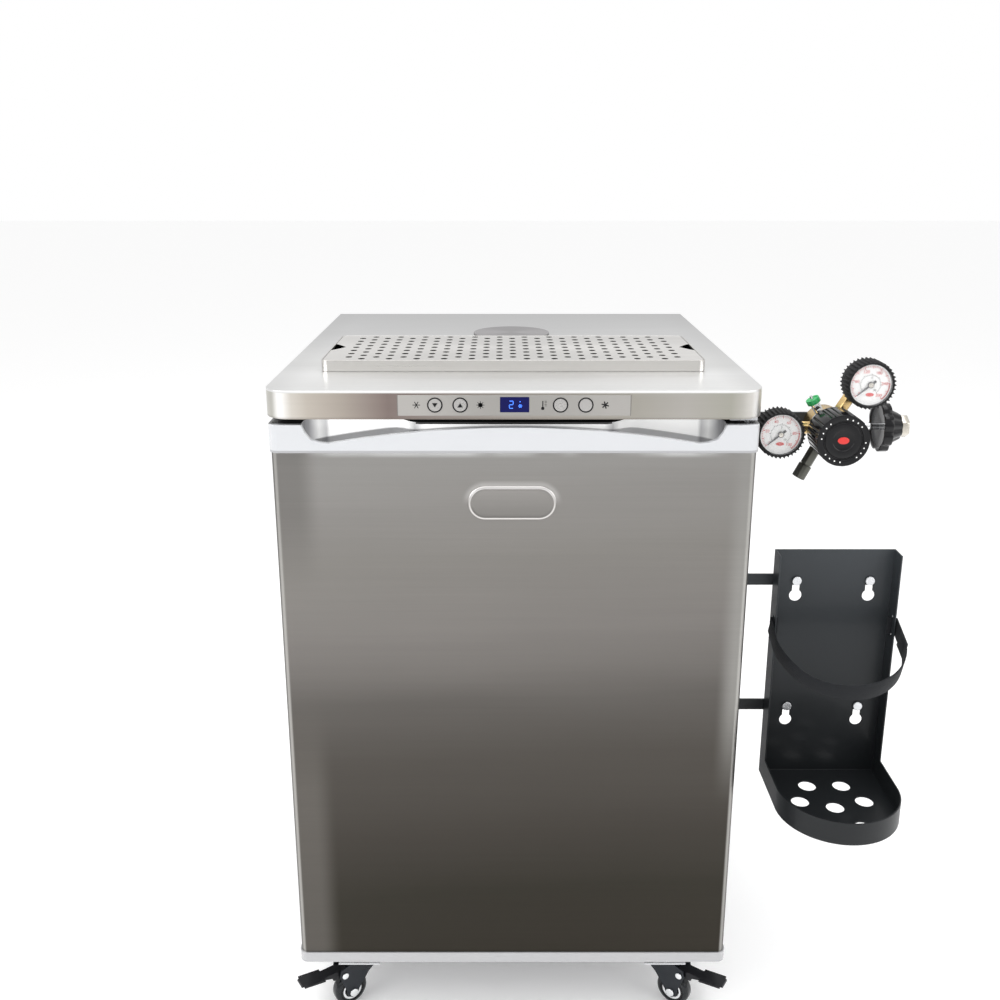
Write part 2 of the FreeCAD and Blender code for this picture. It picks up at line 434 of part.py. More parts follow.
# ---------------------------------------------------------------- regulator
arm_y = REG_Y + 20
reg_arm = merge([box(CAB_X, REG_X + 14, arm_y, arm_y + ARM_T, REG_Z - 14, REG_Z + 14),
                 box(CAB_X, CAB_X + ARM_T, arm_y, arm_y + 60, REG_Z - 14, REG_Z + 14)])
nodes["accessory_arms"] = Part.makeCompound(arms + [reg_arm])
stem_x = REG_X + 66
body = [rod(25, (REG_X, REG_Y - 18, REG_Z), Y, 38), rod(28.5, (REG_X, KNOB_Y1 + 2, REG_Z), Y, 12),
        rod(5, (REG_X, KNOB_Y0 + 10, REG_Z), Y, KNOB_Y1 - KNOB_Y0),
        hexagon(15, (GAUGE_LOW[0] + 24, REG_Y - 8, REG_Z), X, REG_X - GAUGE_LOW[0] - 44),
        rod(4.5, (REG_X + 20, REG_Y, REG_Z), X, 68)]
tilt = V(GAUGE_HIGH[0] - REG_X, 0, GAUGE_HIGH[1] - REG_Z)
tilt.normalize()
body.append(hexagon(15, (REG_X + tilt.x * 20, REG_Y - 8, REG_Z + tilt.z * 20), tilt, 28))
vent = V(-0.52, 0, 0.854)
body.append(rod(6, (REG_X + vent.x * 20, REG_Y - 8, REG_Z + vent.z * 20), vent, 18))
body.append(rod(2.0, (REG_X + vent.x * 20, REG_Y - 8, REG_Z + vent.z * 20), vent, 30))
nodes["regulator_body"] = merge(body)
drop = V(-0.45, 0, -0.893)
spot = lambda way, reach: (REG_X + way.x * reach, REG_Y - 8, REG_Z + way.z * reach)
outlet = merge([hexagon(14, spot(drop, 20), drop, 35), rod(6, spot(drop, 54), drop, 4), rod(8.8, spot(drop, 56), drop, 19)])
outlet = outlet.cut([rod(3.0, spot(drop, 50), drop, 30), rod(25, (REG_X, REG_Y - 30, REG_Z), Y, 60)])
nodes["outlet_fitting"] = outlet.cut(rod(28.5, (REG_X, KNOB_Y1 + 2, REG_Z), Y, 12))
cap_ring = tube(9, 2.0 + RUN, spot(vent, 38.5), vent, 7)
nodes["relief_valve"] = cap_ring
knob = rod(KNOB_R, (REG_X, KNOB_Y0, REG_Z), Y, KNOB_Y1 - KNOB_Y0)
ribs = [rod(1.8, (REG_X + (KNOB_R + 0.4) * math.cos(math.radians(12 * i)), KNOB_Y0 - 1,
                  REG_Z + (KNOB_R + 0.4) * math.sin(math.radians(12 * i))), Y, 60) for i in range(30)]
ring_groove = tube(24, 22, (REG_X, KNOB_Y0 - 1, REG_Z), Y, 3)
shaft_hole = rod(5 + RUN, (REG_X, KNOB_Y0 + 8, REG_Z), Y, 60)
nodes["regulator_knob"] = knob.cut(ribs + [ring_groove, shaft_hole])

cases = []
for gx, gz in (GAUGE_LOW, GAUGE_HIGH):
    case = rod(GAUGE_R, (gx, GAUGE_Y0, gz), Y, GAUGE_DEPTH)
    case = case.cut([rod(26, (gx, GAUGE_Y0 - 1, gz), Y, 7)])
    cases.append(merge([case, rod(1.5, (gx, GAUGE_Y0 + 2.2, gz), Y, 5)]))
low = merge([cases[0], box(GAUGE_LOW[0] + 8, GAUGE_LOW[0] + 24, GAUGE_Y0 + 20, REG_Y, REG_Z - 7, REG_Z + 7)])
base_high = V(REG_X, 0, REG_Z) + tilt * 48
block = Part.makeBox(16, REG_Y - GAUGE_Y0 - 20, 14, V(0, 0, -7))
block.rotate(V(0, 0, 0), Y, -math.degrees(math.atan2(tilt.z, tilt.x)))
block.translate(V(base_high.x, GAUGE_Y0 + 20, base_high.z))
nodes["gauge_cases"] = Part.makeCompound([low.cut(nodes["regulator_body"]),
                                          merge([cases[1], block]).cut(nodes["regulator_body"])])
lenses = [rod(26, (gx, GAUGE_Y0 + 0.2, gz), Y, 1.2) for gx, gz in (GAUGE_LOW, GAUGE_HIGH)]
nodes["gauge_lenses"] = Part.makeCompound(lenses)
for name, (gx, gz) in (("needle_low", GAUGE_LOW), ("needle_high", GAUGE_HIGH)):
    blade = prism([(gx - 8, GAUGE_Y0 + 3, gz - 1.6), (gx - 8, GAUGE_Y0 + 3, gz + 1.6), (gx + 21, GAUGE_Y0 + 3, gz + 0.5),
                   (gx + 21, GAUGE_Y0 + 3, gz - 0.5)], Y * 0.8)
    blade = merge([blade, rod(4, (gx, GAUGE_Y0 + 2.4, gz), Y, 2.2)])
    blade = blade.cut(rod(1.5 + RUN, (gx, GAUGE_Y0, gz), Y, 8))
    blade.rotate(V(gx, GAUGE_Y0, gz), Y, 140)
    nodes[name] = blade
wheel_profile = [(stem_x, 4.5 + RUN), (stem_x, 31), (stem_x + 2, 33.5), (stem_x + 10, 33.5), (stem_x + 12, 31.5),
                 (stem_x + 12, 26), (stem_x + 29, 17), (stem_x + 29, 4.5 + RUN)]
hand = spin([(x, REG_Y, REG_Z + r) for x, r in wheel_profile], (REG_X, REG_Y, REG_Z), X)
flutes = [rod(5, (stem_x - 1, REG_Y + 36.5 * math.cos(math.radians(45 * i)), REG_Z + 36.5 * math.sin(math.radians(45 * i))), X, 22)
          for i in range(8)]
nut = hexagon(26, (stem_x + 28, REG_Y, REG_Z), X, 11)
seat = rod(6, (stem_x + 22.4, REG_Y, REG_Z), X, 4)
nodes["handwheel"] = merge([hand.cut(flutes), nut, seat]).cut(rod(10.5, (stem_x + 26, REG_Y, REG_Z), X, 20))

# ---------------------------------------------------------------- export
everything = Part.makeCompound(list(nodes.values())).BoundBox
shift = V(-(everything.XMin + everything.XMax) / 2, -(everything.YMin + everything.YMax) / 2, -everything.ZMin)
os.makedirs("parts", exist_ok=True)
for name, shape in nodes.items():
    for solid in shape.Solids:
        if not solid.isValid():
            print("invalid solid in", name)
    if not shape.Solids:
        print("no solid in", name)
    moved = shape.copy()
    moved.translate(shift)
    moved.exportStep("parts/" + name + ".step")
print("nodes", len(nodes), "shift", shift.x, shift.y, shift.z)
print("size", everything.XLength, everything.YLength, everything.ZLength)
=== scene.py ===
"""Kegerator: the visual model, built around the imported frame.

Sizes inside the classes are millimetres in the cabinet's own directions: X to the
right from the centre line, Y back from the worktop's front edge, Z up from the floor.
"""

import logging
import math
from contextlib import contextmanager
from dataclasses import dataclass, field
from enum import Enum
from typing import Callable, Iterator, Sequence

import bmesh
import bpy
from mathutils import Matrix, Vector


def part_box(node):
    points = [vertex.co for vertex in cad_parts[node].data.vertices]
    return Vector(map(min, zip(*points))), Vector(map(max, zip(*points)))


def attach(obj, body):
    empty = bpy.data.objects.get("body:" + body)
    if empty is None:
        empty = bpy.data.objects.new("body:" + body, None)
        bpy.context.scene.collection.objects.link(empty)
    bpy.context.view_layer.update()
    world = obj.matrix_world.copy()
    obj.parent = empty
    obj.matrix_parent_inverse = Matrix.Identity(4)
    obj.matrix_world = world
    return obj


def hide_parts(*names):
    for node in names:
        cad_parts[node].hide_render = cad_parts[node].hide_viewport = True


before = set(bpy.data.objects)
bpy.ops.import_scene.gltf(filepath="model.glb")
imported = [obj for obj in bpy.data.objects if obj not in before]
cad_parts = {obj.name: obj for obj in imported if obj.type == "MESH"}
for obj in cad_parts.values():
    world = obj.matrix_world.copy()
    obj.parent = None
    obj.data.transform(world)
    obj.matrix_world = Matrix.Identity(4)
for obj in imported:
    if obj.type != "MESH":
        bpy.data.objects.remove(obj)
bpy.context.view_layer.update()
LOG = logging.getLogger("kegerator")

MM = 0.001
Colour = tuple[float, float, float]
Triple = tuple[float, float, float]
Stops = tuple[tuple[float, Colour], ...]


class Way(Enum):
    """Directions that a piece or a grain can point in."""

    RIGHT = (1.0, 0.0, 0.0)
    BACK = (0.0, 1.0, 0.0)


class Pick(Enum):
    """What an edit selects."""

    VERTS = "VERT"
    EDGES = "EDGE"
    FACES = "FACE"


# --------------------------------------------------------------------------- place
@dataclass(frozen=True)
class Datum:
    """Where the cabinet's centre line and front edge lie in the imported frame."""

    x: float
    y: float

    @classmethod
    def from_worktop(cls) -> "Datum":
        """Reads the datum from the worktop's box."""
        low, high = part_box("worktop")
        return cls((low[0] + high[0]) / 2, low[1])

    def at(self, x: float, y: float, z: float) -> Vector:
        """Turns cabinet millimetres into a point of the frame, in metres."""
        return Vector((x * MM + self.x, y * MM + self.y, z * MM))


DATUM = Datum.from_worktop()


def turn_about(spot: Vector, degrees: float, letter: str) -> Matrix:
    """A turn about an axis through a point.

    Args:
        spot: the point, in metres.
        degrees: the angle.
        letter: the axis, X, Y or Z.

    Returns:
        The matrix.
    """
    turn = Matrix.Rotation(math.radians(degrees), 4, letter)
    return Matrix.Translation(spot) @ turn @ Matrix.Translation(-spot)


# --------------------------------------------------------------------------- shaders
class Wire:
    """One shader socket whose arithmetic adds Math nodes."""

    def __init__(self, tree: bpy.types.NodeTree, socket: bpy.types.NodeSocket) -> None:
        """Keeps the tree and the socket."""
        self.tree = tree
        self.socket = socket

    def _math(self, operation: str, *values: "Wire | float") -> "Wire":
        """Adds one Math node.

        Args:
            operation: Blender's name of the operation.
            values: wires or numbers for its sockets.

        Returns:
            The wire of the result.
        """
        made = self.tree.nodes.new("ShaderNodeMath")
        made.operation = operation
        for socket, value in zip(made.inputs, values):
            if isinstance(value, Wire):
                self.tree.links.new(value.socket, socket)
            else:
                socket.default_value = value
        return Wire(self.tree, made.outputs[0])

    def __add__(self, other: "Wire | float") -> "Wire":
        """Sum."""
        return self._math("ADD", self, other)

    def __sub__(self, other: "Wire | float") -> "Wire":
        """Difference."""
        return self._math("SUBTRACT", self, other)

    def __rsub__(self, other: float) -> "Wire":
        """Difference from a number."""
        return self._math("SUBTRACT", other, self)

    def __mul__(self, other: "Wire | float") -> "Wire":
        """Product."""
        return self._math("MULTIPLY", self, other)

    def __pow__(self, other: float) -> "Wire":
        """Power."""
        return self._math("POWER", self, other)

    def size(self) -> "Wire":
        """Absolute value."""
        return self._math("ABSOLUTE", self)

    def most(self, other: float) -> "Wire":
        """The larger of this and a number."""
        return self._math("MAXIMUM", self, other)

    def above(self, edge: float) -> "Wire":
        """One where the value is over the edge, zero elsewhere."""
        return self._math("GREATER_THAN", self, edge)

    def wave(self) -> "Wire":
        """Sine."""
        return self._math("SINE", self)


class Paint:
    """A material under construction."""

    def __init__(self, name: str) -> None:
        """Starts an empty material.

        Args:
            name: the material's name.
        """
        self.material = bpy.data.materials.new(name)
        self.material.use_nodes = True
        self.tree = self.material.node_tree
        self.shader = self.tree.nodes["Principled BSDF"]

    def node(self, kind: str, settings: dict | None = None, **sockets) -> bpy.types.Node:
        """Adds a node.

        Args:
            kind: Blender's node type.
            settings: properties set before its sockets.
            sockets: values or wires, by socket name with spaces as underscores, or _N for number N.

        Returns:
            The node.
        """
        made = self.tree.nodes.new(kind)
        for key, value in (settings or {}).items():
            setattr(made, key, value)
        for key, value in sockets.items():
            socket = made.inputs[int(key[1:])] if key[1:].isdigit() else made.inputs[key.replace("_", " ")]
            if isinstance(value, Wire):
                self.tree.links.new(value.socket, socket)
            else:
                socket.default_value = value
        return made

    def out(self, made: bpy.types.Node, name: str | int = 0) -> Wire:
        """The wire of a node's output."""
        return Wire(self.tree, made.outputs[name])

    def place(self) -> Wire:
        """Object coordinates."""
        return self.out(self.node("ShaderNodeTexCoord"), "Object")

    def part(self, axis: int) -> Wire:
        """One component of the Object coordinates, in metres."""
        return self.out(self.node("ShaderNodeSeparateXYZ", Vector=self.place()), axis)

    def noise(self, stretch: Triple, detail: float = 3.0, roughness: float = 0.55) -> Wire:
        """Noise on Object coordinates.

        Args:
            stretch: cycles per metre along each direction.
            detail: number of finer layers.
            roughness: how strong the finer layers are.

        Returns:
            A value about 0.5.
        """
        turned = self.node("ShaderNodeMapping", Vector=self.place(), Scale=stretch)
        made = self.node("ShaderNodeTexNoise", Vector=self.out(turned), Scale=1.0, Detail=detail,
                         Roughness=roughness)
        return self.out(made)

    def blend(self, amount: Wire, first: Colour | Wire, second: Colour | Wire) -> Wire:
        """A colour between two others."""
        values = [v if isinstance(v, Wire) else (*v, 1.0) for v in (first, second)]
        made = self.node("ShaderNodeMix", {"data_type": "RGBA", "clamp_factor": True},
                         _0=amount, _6=values[0], _7=values[1])
        return self.out(made, 2)

    def ramp(self, value: Wire, low: float, high: float, stops: Stops) -> Wire:
        """Colours along a range of a value.

        Args:
            value: the value.
            low: where the first stop's zero lies.
            high: where the last stop's one lies.
            stops: places from 0 to 1 with their colours.

        Returns:
            The colour wire.
        """
        span = self.node("ShaderNodeMapRange", None, Value=value, From_Min=low, From_Max=high)
        made = self.tree.nodes.new("ShaderNodeValToRGB")
        band = made.color_ramp
        while len(band.elements) < len(stops):
            band.elements.new(0.5)
        for element, (spot, colour) in zip(band.elements, stops):
            element.position = spot
            element.color = (*colour, 1.0)
        self.tree.links.new(span.outputs[0], made.inputs[0])
        return self.out(made)

    def span(self, value: Wire, low: float, high: float) -> Wire:
        """Zero at the low end of a range, one at its high end, smooth between."""
        made = self.node("ShaderNodeMapRange", {"interpolation_type": "SMOOTHSTEP"},
                         Value=value, From_Min=low, From_Max=high)
        return self.out(made)

    def reach(self, axes: tuple[int, int], middle: tuple[float, float], half: tuple[float, float],
              corner: float) -> Wire:
        """How far a spot lies out from a round-cornered rectangle's core.

        Args:
            axes: the rectangle's two axes.
            middle: its middle along them, in metres.
            half: half its sides.
            corner: its corner radius; the result equals this on the outline.

        Returns:
            The distance in metres.
        """
        first, second = (((self.part(axis) - spot).size() - (side - corner)).most(0.0)
                         for axis, spot, side in zip(axes, middle, half))
        return (first * first + second * second) ** 0.5

    def outline(self, node: str, corner: float) -> Wire:
        """How far a spot lies out from the core of a node's round-cornered plan."""
        low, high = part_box(node)
        return self.reach((0, 1), ((low[0] + high[0]) / 2, (low[1] + high[1]) / 2),
                          ((high[0] - low[0]) / 2, (high[1] - low[1]) / 2), corner)

    def times(self, first: Wire, second: Wire) -> Wire:
        """The product of two colours."""
        made = self.node("ShaderNodeMix", {"data_type": "RGBA", "blend_type": "MULTIPLY"},
                         _0=1.0, _6=first, _7=second)
        return self.out(made, 2)

    def base(self) -> Wire:
        """The colour that the shader has so far."""
        return Wire(self.tree, self.shader.inputs["Base Color"].links[0].from_socket)

    def set(self, **sockets) -> None:
        """Sets constants or links on the shader."""
        for key, value in sockets.items():
            socket = self.shader.inputs[key.replace("_", " ")]
            if isinstance(value, Wire):
                self.tree.links.new(value.socket, socket)
            else:
                socket.default_value = (*value, 1.0) if isinstance(value, tuple) else value

    def bump(self, height: Wire, depth: float) -> None:
        """Relief of a given depth in millimetres."""
        made = self.node("ShaderNodeBump", None, Height=height, Strength=1.0, Distance=depth * MM)
        self.tree.links.new(made.outputs[0], self.shader.inputs["Normal"])


@dataclass(frozen=True)
class Finish:
    """A surface finish; each kind paints itself."""

    name: str

    def material(self) -> bpy.types.Material:
        """The material, made once and then reused."""
        title = "finish_" + self.name
        known = bpy.data.materials.get(title)
        if known:
            return known
        paint = Paint(title)
        self.dress(paint)
        return paint.material

    def dress(self, paint: Paint) -> None:
        """Adds the finish's nodes."""
        raise NotImplementedError


@dataclass(frozen=True)
class Brushed(Finish):
    """Brushed stainless steel with long fine lines and soft smudges."""

    tint: Colour
    grain: Way = Way.RIGHT
    roughness: float = 0.3
    depth: float = 0.012

    def lines(self, paint: Paint, count: float) -> Wire:
        """Fine lines along the grain, count per metre across it."""
        stretch = tuple(3.0 if along else count for along in self.grain.value)
        return paint.noise(stretch, 4.0, 0.7)

    def colour(self, paint: Paint, streak: Wire) -> Wire:
        """Base colour, a little uneven along the lines."""
        dark = tuple(c * 0.86 for c in self.tint)
        light = tuple(min(1.0, c * 1.1) for c in self.tint)
        return paint.blend(streak, dark, light)

    def dress(self, paint: Paint) -> None:
        """Steel with lines, smudges and a slight relief."""
        coarse, fine = self.lines(paint, 140.0), self.lines(paint, 900.0)
        streak = coarse * 0.5 + fine * 0.5
        smudge = paint.noise((5.0, 5.0, 5.0), 4.0)
        paint.set(Metallic=1.0, Base_Color=self.colour(paint, streak))
        paint.set(Roughness=(streak - 0.5) * 0.16 + (smudge - 0.5) * 0.1 + self.roughness)
        paint.set(Anisotropic=0.4)
        paint.bump(fine * 0.6 + coarse * 0.4, self.depth)


@dataclass(frozen=True)
class DoorSteel(Brushed):
    """Brushed door sheet with painted reflection: darker towards the floor, with painted bands, highlights
    and shade lines.
    """

    bottom: float = 0.144
    top: float = 0.8635
    half: float = 0.294
    plate_height: float = 0.79995

    def colour(self, paint: Paint, streak: Wire) -> Wire:
        """Painted reflection: light at the top, dark at the foot, with painted bands, and a painted highlight
        and a painted shade line at the upright edges.
        """
        tones = ((0.0, (0.036, 0.032, 0.026)), (0.12, (0.037, 0.034, 0.028)), (0.27, (0.052, 0.047, 0.041)),
                 (0.42, (0.072, 0.066, 0.059)), (0.55, (0.105, 0.098, 0.091)), (0.68, (0.184, 0.173, 0.163)),
                 (0.82, (0.222, 0.212, 0.198)), (0.93, (0.262, 0.252, 0.240)), (1.0, (0.300, 0.292, 0.280)))
        cloud = paint.noise((1.1, 1.1, 6.0), 2.0)
        across = paint.part(0) - DATUM.x
        tall = paint.part(2)
        # painted reflection: the tone ramp darkens the sheet towards the floor
        base = paint.ramp(tall + (cloud - 0.5) * 0.10 + across * -0.06, self.bottom, self.top, tones)
        # painted reflection bands: darker up the left side, paler up the right
        left = paint.span(across * -1.0, self.half - 0.060, self.half - 0.030)
        upper = paint.span(tall, self.bottom + 0.52, self.bottom + 0.66)
        base = paint.blend(left * 0.55 * upper, base, (0.135, 0.128, 0.120))
        lower = paint.span(tall, self.top - 0.30, self.top - 0.48)
        base = paint.blend(left * 0.60 * lower, base, (0.135, 0.126, 0.115))
        raised = paint.span(tall, self.bottom + 0.22, self.bottom + 0.42)
        right = paint.span(across, self.half - 0.034, self.half - 0.010) * raised
        lit = paint.blend(right * 0.65, base, (0.31, 0.305, 0.29))
        # painted highlight: broken bright streaks along the sheet's top edge
        gleam = paint.noise((9.0, 1.0, 1.0), 2.0)
        crest_highlight = paint.span(tall, self.top - 0.0075, self.top - 0.001) * paint.span(gleam, 0.42, 0.62)
        lit = paint.blend(crest_highlight * 0.75, lit, (0.62, 0.62, 0.62))
        # painted highlight on the turn of each upright edge, with a painted shade line outside it
        shine = paint.span(across.size(), self.half - 0.0085, self.half - 0.0055)
        lit = paint.blend(shine * 0.6, lit, (0.46, 0.45, 0.43))
        dark = paint.span(across.size(), self.half - 0.0040, self.half - 0.0020)
        lit = paint.blend(dark * 0.8, lit, (0.05, 0.047, 0.042))
        lit = self.plate(paint, lit)
        return paint.times(lit, paint.blend(streak, (0.86, 0.86, 0.86), (1.1, 1.1, 1.1)))

    def plate(self, paint: Paint, lit: Wire) -> Wire:
        """Light and shade on and round the pressed name plate.

        Args:
            paint: the material under construction.
            lit: the colour so far.

        Returns:
            The colour with the plate's rim, its shade and the gleam over it.
        """
        out = paint.reach((0, 2), (DATUM.x - 0.002, self.plate_height), (0.054, 0.02145), 0.02145)
        rise = paint.span(paint.part(2) - self.plate_height, -0.004, 0.014)
        halo = paint.span(out, 0.0300, 0.0216) * rise * (out - 0.0212).above(0.0)
        lit = paint.blend(halo * 0.42, lit, (0.66, 0.64, 0.63))
        shade = paint.span(out, 0.0148, 0.0178) * rise * (out * -1.0 + 0.0182).above(0.0)
        lit = paint.blend(shade * 0.40, lit, (0.10, 0.095, 0.09))
        crest_highlight = paint.span(out, 0.0180, 0.0188) * rise * (out * -1.0 + 0.0216).above(0.0)
        lit = paint.blend(crest_highlight * 0.85, lit, (0.80, 0.78, 0.77))
        # painted highlight: a thin bright line along the plate's lower rim
        line = paint.span(out, 0.0182, 0.0189) * paint.span(out, 0.0210, 0.0199) * (rise * -1.0 + 1.0)
        return paint.blend(line * 0.85, lit, (0.70, 0.68, 0.66))


@dataclass(frozen=True)
class TopSteel(Brushed):
    """Brushed worktop with painted reflection: paler to the front, a front fold toned across its width,
    painted highlights on the round corners and painted shade lines along the fold.
    """

    rim: float = 0.938

    def colour(self, paint: Paint, streak: Wire) -> Wire:
        """Painted reflection: pale field, front fold toned across its width."""
        back = paint.part(1) - DATUM.y
        across = paint.part(0) - DATUM.x
        # painted reflection on the top: palest near the front, darker towards the back
        field = ((0.0, (0.90, 0.90, 0.89)), (0.16, (0.94, 0.94, 0.935)), (0.25, (0.80, 0.80, 0.79)),
                 (0.6, (0.68, 0.68, 0.68)), (1.0, (0.58, 0.58, 0.58)))
        pale = paint.ramp(back, 0.0, 0.65, field)
        shade = paint.span(across.size(), 0.25, 0.297)
        pale = paint.blend(shade * 0.30, pale, (0.52, 0.52, 0.52))
        # painted reflection across the front fold, with painted highlights at both round corners
        tones = ((0.0, (0.60, 0.59, 0.55)), (0.018, (0.52, 0.51, 0.47)), (0.030, (0.98, 0.97, 0.95)),
                 (0.042, (0.96, 0.94, 0.91)), (0.058, (0.70, 0.66, 0.60)), (0.09, (0.57, 0.52, 0.46)),
                 (0.16, (0.44, 0.39, 0.345)), (0.25, (0.25, 0.20, 0.185)), (0.33, (0.29, 0.25, 0.23)),
                 (0.5, (0.36, 0.33, 0.30)), (0.74, (0.40, 0.38, 0.34)), (0.84, (0.46, 0.44, 0.41)),
                 (0.93, (0.42, 0.41, 0.36)), (0.972, (0.60, 0.58, 0.55)), (0.985, (0.95, 0.94, 0.92)),
                 (1.0, (0.55, 0.53, 0.50)))
        fold = paint.ramp(across, -0.3, 0.3, tones)
        # painted shade: dark lines along the fold's top edge and along its foot
        front = (back * -1.0 + 0.0035).above(0.0)
        edge = paint.span(paint.part(2), self.rim - 0.0015, self.rim + 0.0005) * front
        fold = paint.blend(edge * 0.35, fold, (0.20, 0.18, 0.16))
        foot = paint.span(paint.part(2), self.rim - 0.029, self.rim - 0.0325)
        fold = paint.blend(foot * 0.45, fold, (0.16, 0.14, 0.12))
        below = paint.span(paint.part(2), self.rim, self.rim - 0.001)
        lines = paint.blend(streak, (0.9, 0.9, 0.9), (1.08, 1.08, 1.08))
        return paint.times(paint.blend(below, pale, fold), lines)


@dataclass(frozen=True)
class GrateSteel(Brushed):
    """Plate steel with painted shade: its hole walls and underside are painted dark."""

    drop: float = 0.00012
    corner: float = 0.007

    def colour(self, paint: Paint, streak: Wire) -> Wire:
        """Pale top and outer edge, painted shade below the top inside them."""
        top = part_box("drip_grate")[1][2]
        out = paint.outline("drip_grate", self.corner)
        # painted shade: below the top face, inside the outer edge, the steel turns near black
        under = (top - self.drop - paint.part(2)).above(0.0) * (self.corner - 0.0006 - out).above(0.0)
        return paint.blend(under, super().colour(paint, streak), (0.008, 0.007, 0.006))


@dataclass(frozen=True)
class TraySteel(Brushed):
    """Tray steel: pale outside, with painted shade making it dark in the well under the grate."""

    well: float = 0.9525
    corner: float = 0.009

    def colour(self, paint: Paint, streak: Wire) -> Wire:
        """Painted shade: dark inside the walls, pale outside them, with a painted shade band on the turned
        corners.
        """
        low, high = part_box("drip_tray")
        middle, half = (low[0] + high[0]) / 2, (high[0] - low[0]) / 2
        out = paint.outline("drip_tray", self.corner)
        inside = (self.well - paint.part(2)).above(0.0) * (self.corner - 0.0010 - out).above(0.0)
        plain = super().colour(paint, streak)
        # painted shade band on the outer turn of the round corners
        bend = paint.span(out, self.corner - 0.0008, self.corner) * (paint.part(0) - middle).size()
        turned = paint.span(bend, half - 0.0035, half - 0.0005)
        plain = paint.blend(turned * 0.5, plain, (0.38, 0.37, 0.36))
        # painted shade: the well under the grate turns near black
        return paint.blend(inside, plain, (0.010, 0.009, 0.008))


@dataclass(frozen=True)
class Plastic(Finish):
    """Moulded plastic or paint: speckled tone, slight orange peel and handling wear."""

    tint: Colour
    roughness: float = 0.35
    coat: float = 0.0
    metal: float = 0.0
    peel: float = 0.02
    grit: float = 900.0
    spread: float = 0.08
    gloss: float = 0.5

    def dress(self, paint: Paint) -> None:
        """Adds the tone, the roughness and the relief."""
        grain = paint.noise((self.grit,) * 3, 3.0)
        cloud = paint.noise((9.0, 9.0, 9.0), 3.0)
        dark = tuple(c * (1 - self.spread) for c in self.tint)
        light = tuple(min(1.0, c * (1 + self.spread)) for c in self.tint)
        paint.set(Base_Color=paint.blend(grain * 0.5 + cloud * 0.5, dark, light))
        paint.set(Metallic=self.metal, Coat_Weight=self.coat)
        paint.set(Roughness=(cloud - 0.5) * 0.14 + (grain - 0.5) * 0.08 + self.roughness, Coat_Roughness=0.08)
        paint.set(Specular_IOR_Level=self.gloss)
        paint.bump(grain, self.peel)


@dataclass(frozen=True)
class CapPlastic(Plastic):
    """Glossy silver-white door cap with painted shade and light: dark on top, shaded in the finger pull and
    along its foot, with a painted glow in the pull.
    """

    top: float = 0.8982
    hem: float = 0.0322
    front: float = 0.0088
    # strength of the painted glow in the finger pull
    lift: float = 0.80

    def dress(self, paint: Paint) -> None:
        """Adds painted shade on the top, along the foot and in the pull, and a painted glow in the pull, to
        the plain plastic.
        """
        super().dress(paint)
        lit = paint.base()
        across = paint.part(0) - DATUM.x
        wide = across.size()
        drop = self.top - paint.part(2)
        behind = (paint.part(1) - (DATUM.y + self.front)).above(0.0)
        # painted shade: a grey line along the cap's foot
        foot = paint.span(drop, self.hem - 0.0012, self.hem)
        lit = paint.blend(foot * 0.85, lit, (0.34, 0.34, 0.35))
        # painted shade: the pull's wall is grey below the lip's height and white above it
        lip = wide * wide * 0.392 + 0.0031
        band = paint.span(drop - lip, -0.0005, 0.0022) * behind
        wall = paint.blend(band, (0.96, 0.96, 0.95), (0.36, 0.36, 0.365))
        # painted shade: darker towards the pull's end walls
        end_wall_shading = ((0.0, (1.0, 1.0, 1.0)), (0.15, (0.52, 0.52, 0.53)), (0.45, (0.72, 0.72, 0.72)),
                 (0.7, (0.40, 0.40, 0.41)), (0.9, (0.17, 0.17, 0.18)), (1.0, (0.07, 0.07, 0.075)))
        turn = paint.ramp(wide, 0.227, 0.2565, end_wall_shading)
        # painted shade where the pull's back wall steps in
        step_shading = ((0.0, (0.90, 0.90, 0.90)), (0.35, (0.58, 0.58, 0.59)), (0.55, (0.42, 0.42, 0.43)),
                 (1.0, (1.0, 1.0, 1.0)))
        step = paint.ramp(wide, 0.108, 0.130, step_shading)
        lit = paint.blend(behind, lit, paint.times(paint.times(wall, turn), step))
        # painted shadow: black on the cap's top behind the front, and deeper down across the middle
        high = (drop * -1.0 + 0.0005).above(0.0) * behind
        centre_top_shadow = (drop * -1.0 + 0.0026).above(0.0) * (wide * -1.0 + 0.119).above(0.0) * behind
        lit = paint.blend(high + centre_top_shadow, lit, (0.006, 0.006, 0.006))
        # painted glow: the pull's colour glows, stronger to the left, though no lamp is there
        left = paint.span(across * -1.0, 0.0, 0.12) * (band * -1.0 + 1.0)
        glow = paint.times(lit, paint.blend(left, (0.53, 0.53, 0.53), (1.0, 1.0, 1.0)))
        paint.set(Base_Color=lit, Emission_Color=paint.blend(behind, (0.0, 0.0, 0.0), glow))
        paint.set(Emission_Strength=self.lift)


@dataclass(frozen=True)
class Paper(Plastic):
    """White floor paper with a faint glow of its own."""

    light: float = 0.14

    def dress(self, paint: Paint) -> None:
        """Adds a faint even light to the plain paper."""
        super().dress(paint)
        paint.set(Emission_Color=(1.0, 1.0, 1.0), Emission_Strength=self.light)


@dataclass(frozen=True)
class PowderCoat(Plastic):
    """Powder coat on the bottle holder, with painted light making it paler towards its top."""

    low: float = 0.36
    high: float = 0.69

    def dress(self, paint: Paint) -> None:
        """Adds painted light along the height: dark low, paler at the top."""
        super().dress(paint)
        lit = paint.base()
        # painted light: the coat darkens towards the bottom and pales towards the top
        tones = ((0.0, (0.25, 0.25, 0.25)), (0.3, (0.30, 0.30, 0.30)), (0.7, (0.60, 0.60, 0.60)),
                 (1.0, (1.0, 1.0, 1.0)))
        tone = paint.ramp(paint.part(2), self.low, self.high, tones)
        paint.set(Base_Color=paint.times(lit, tone))


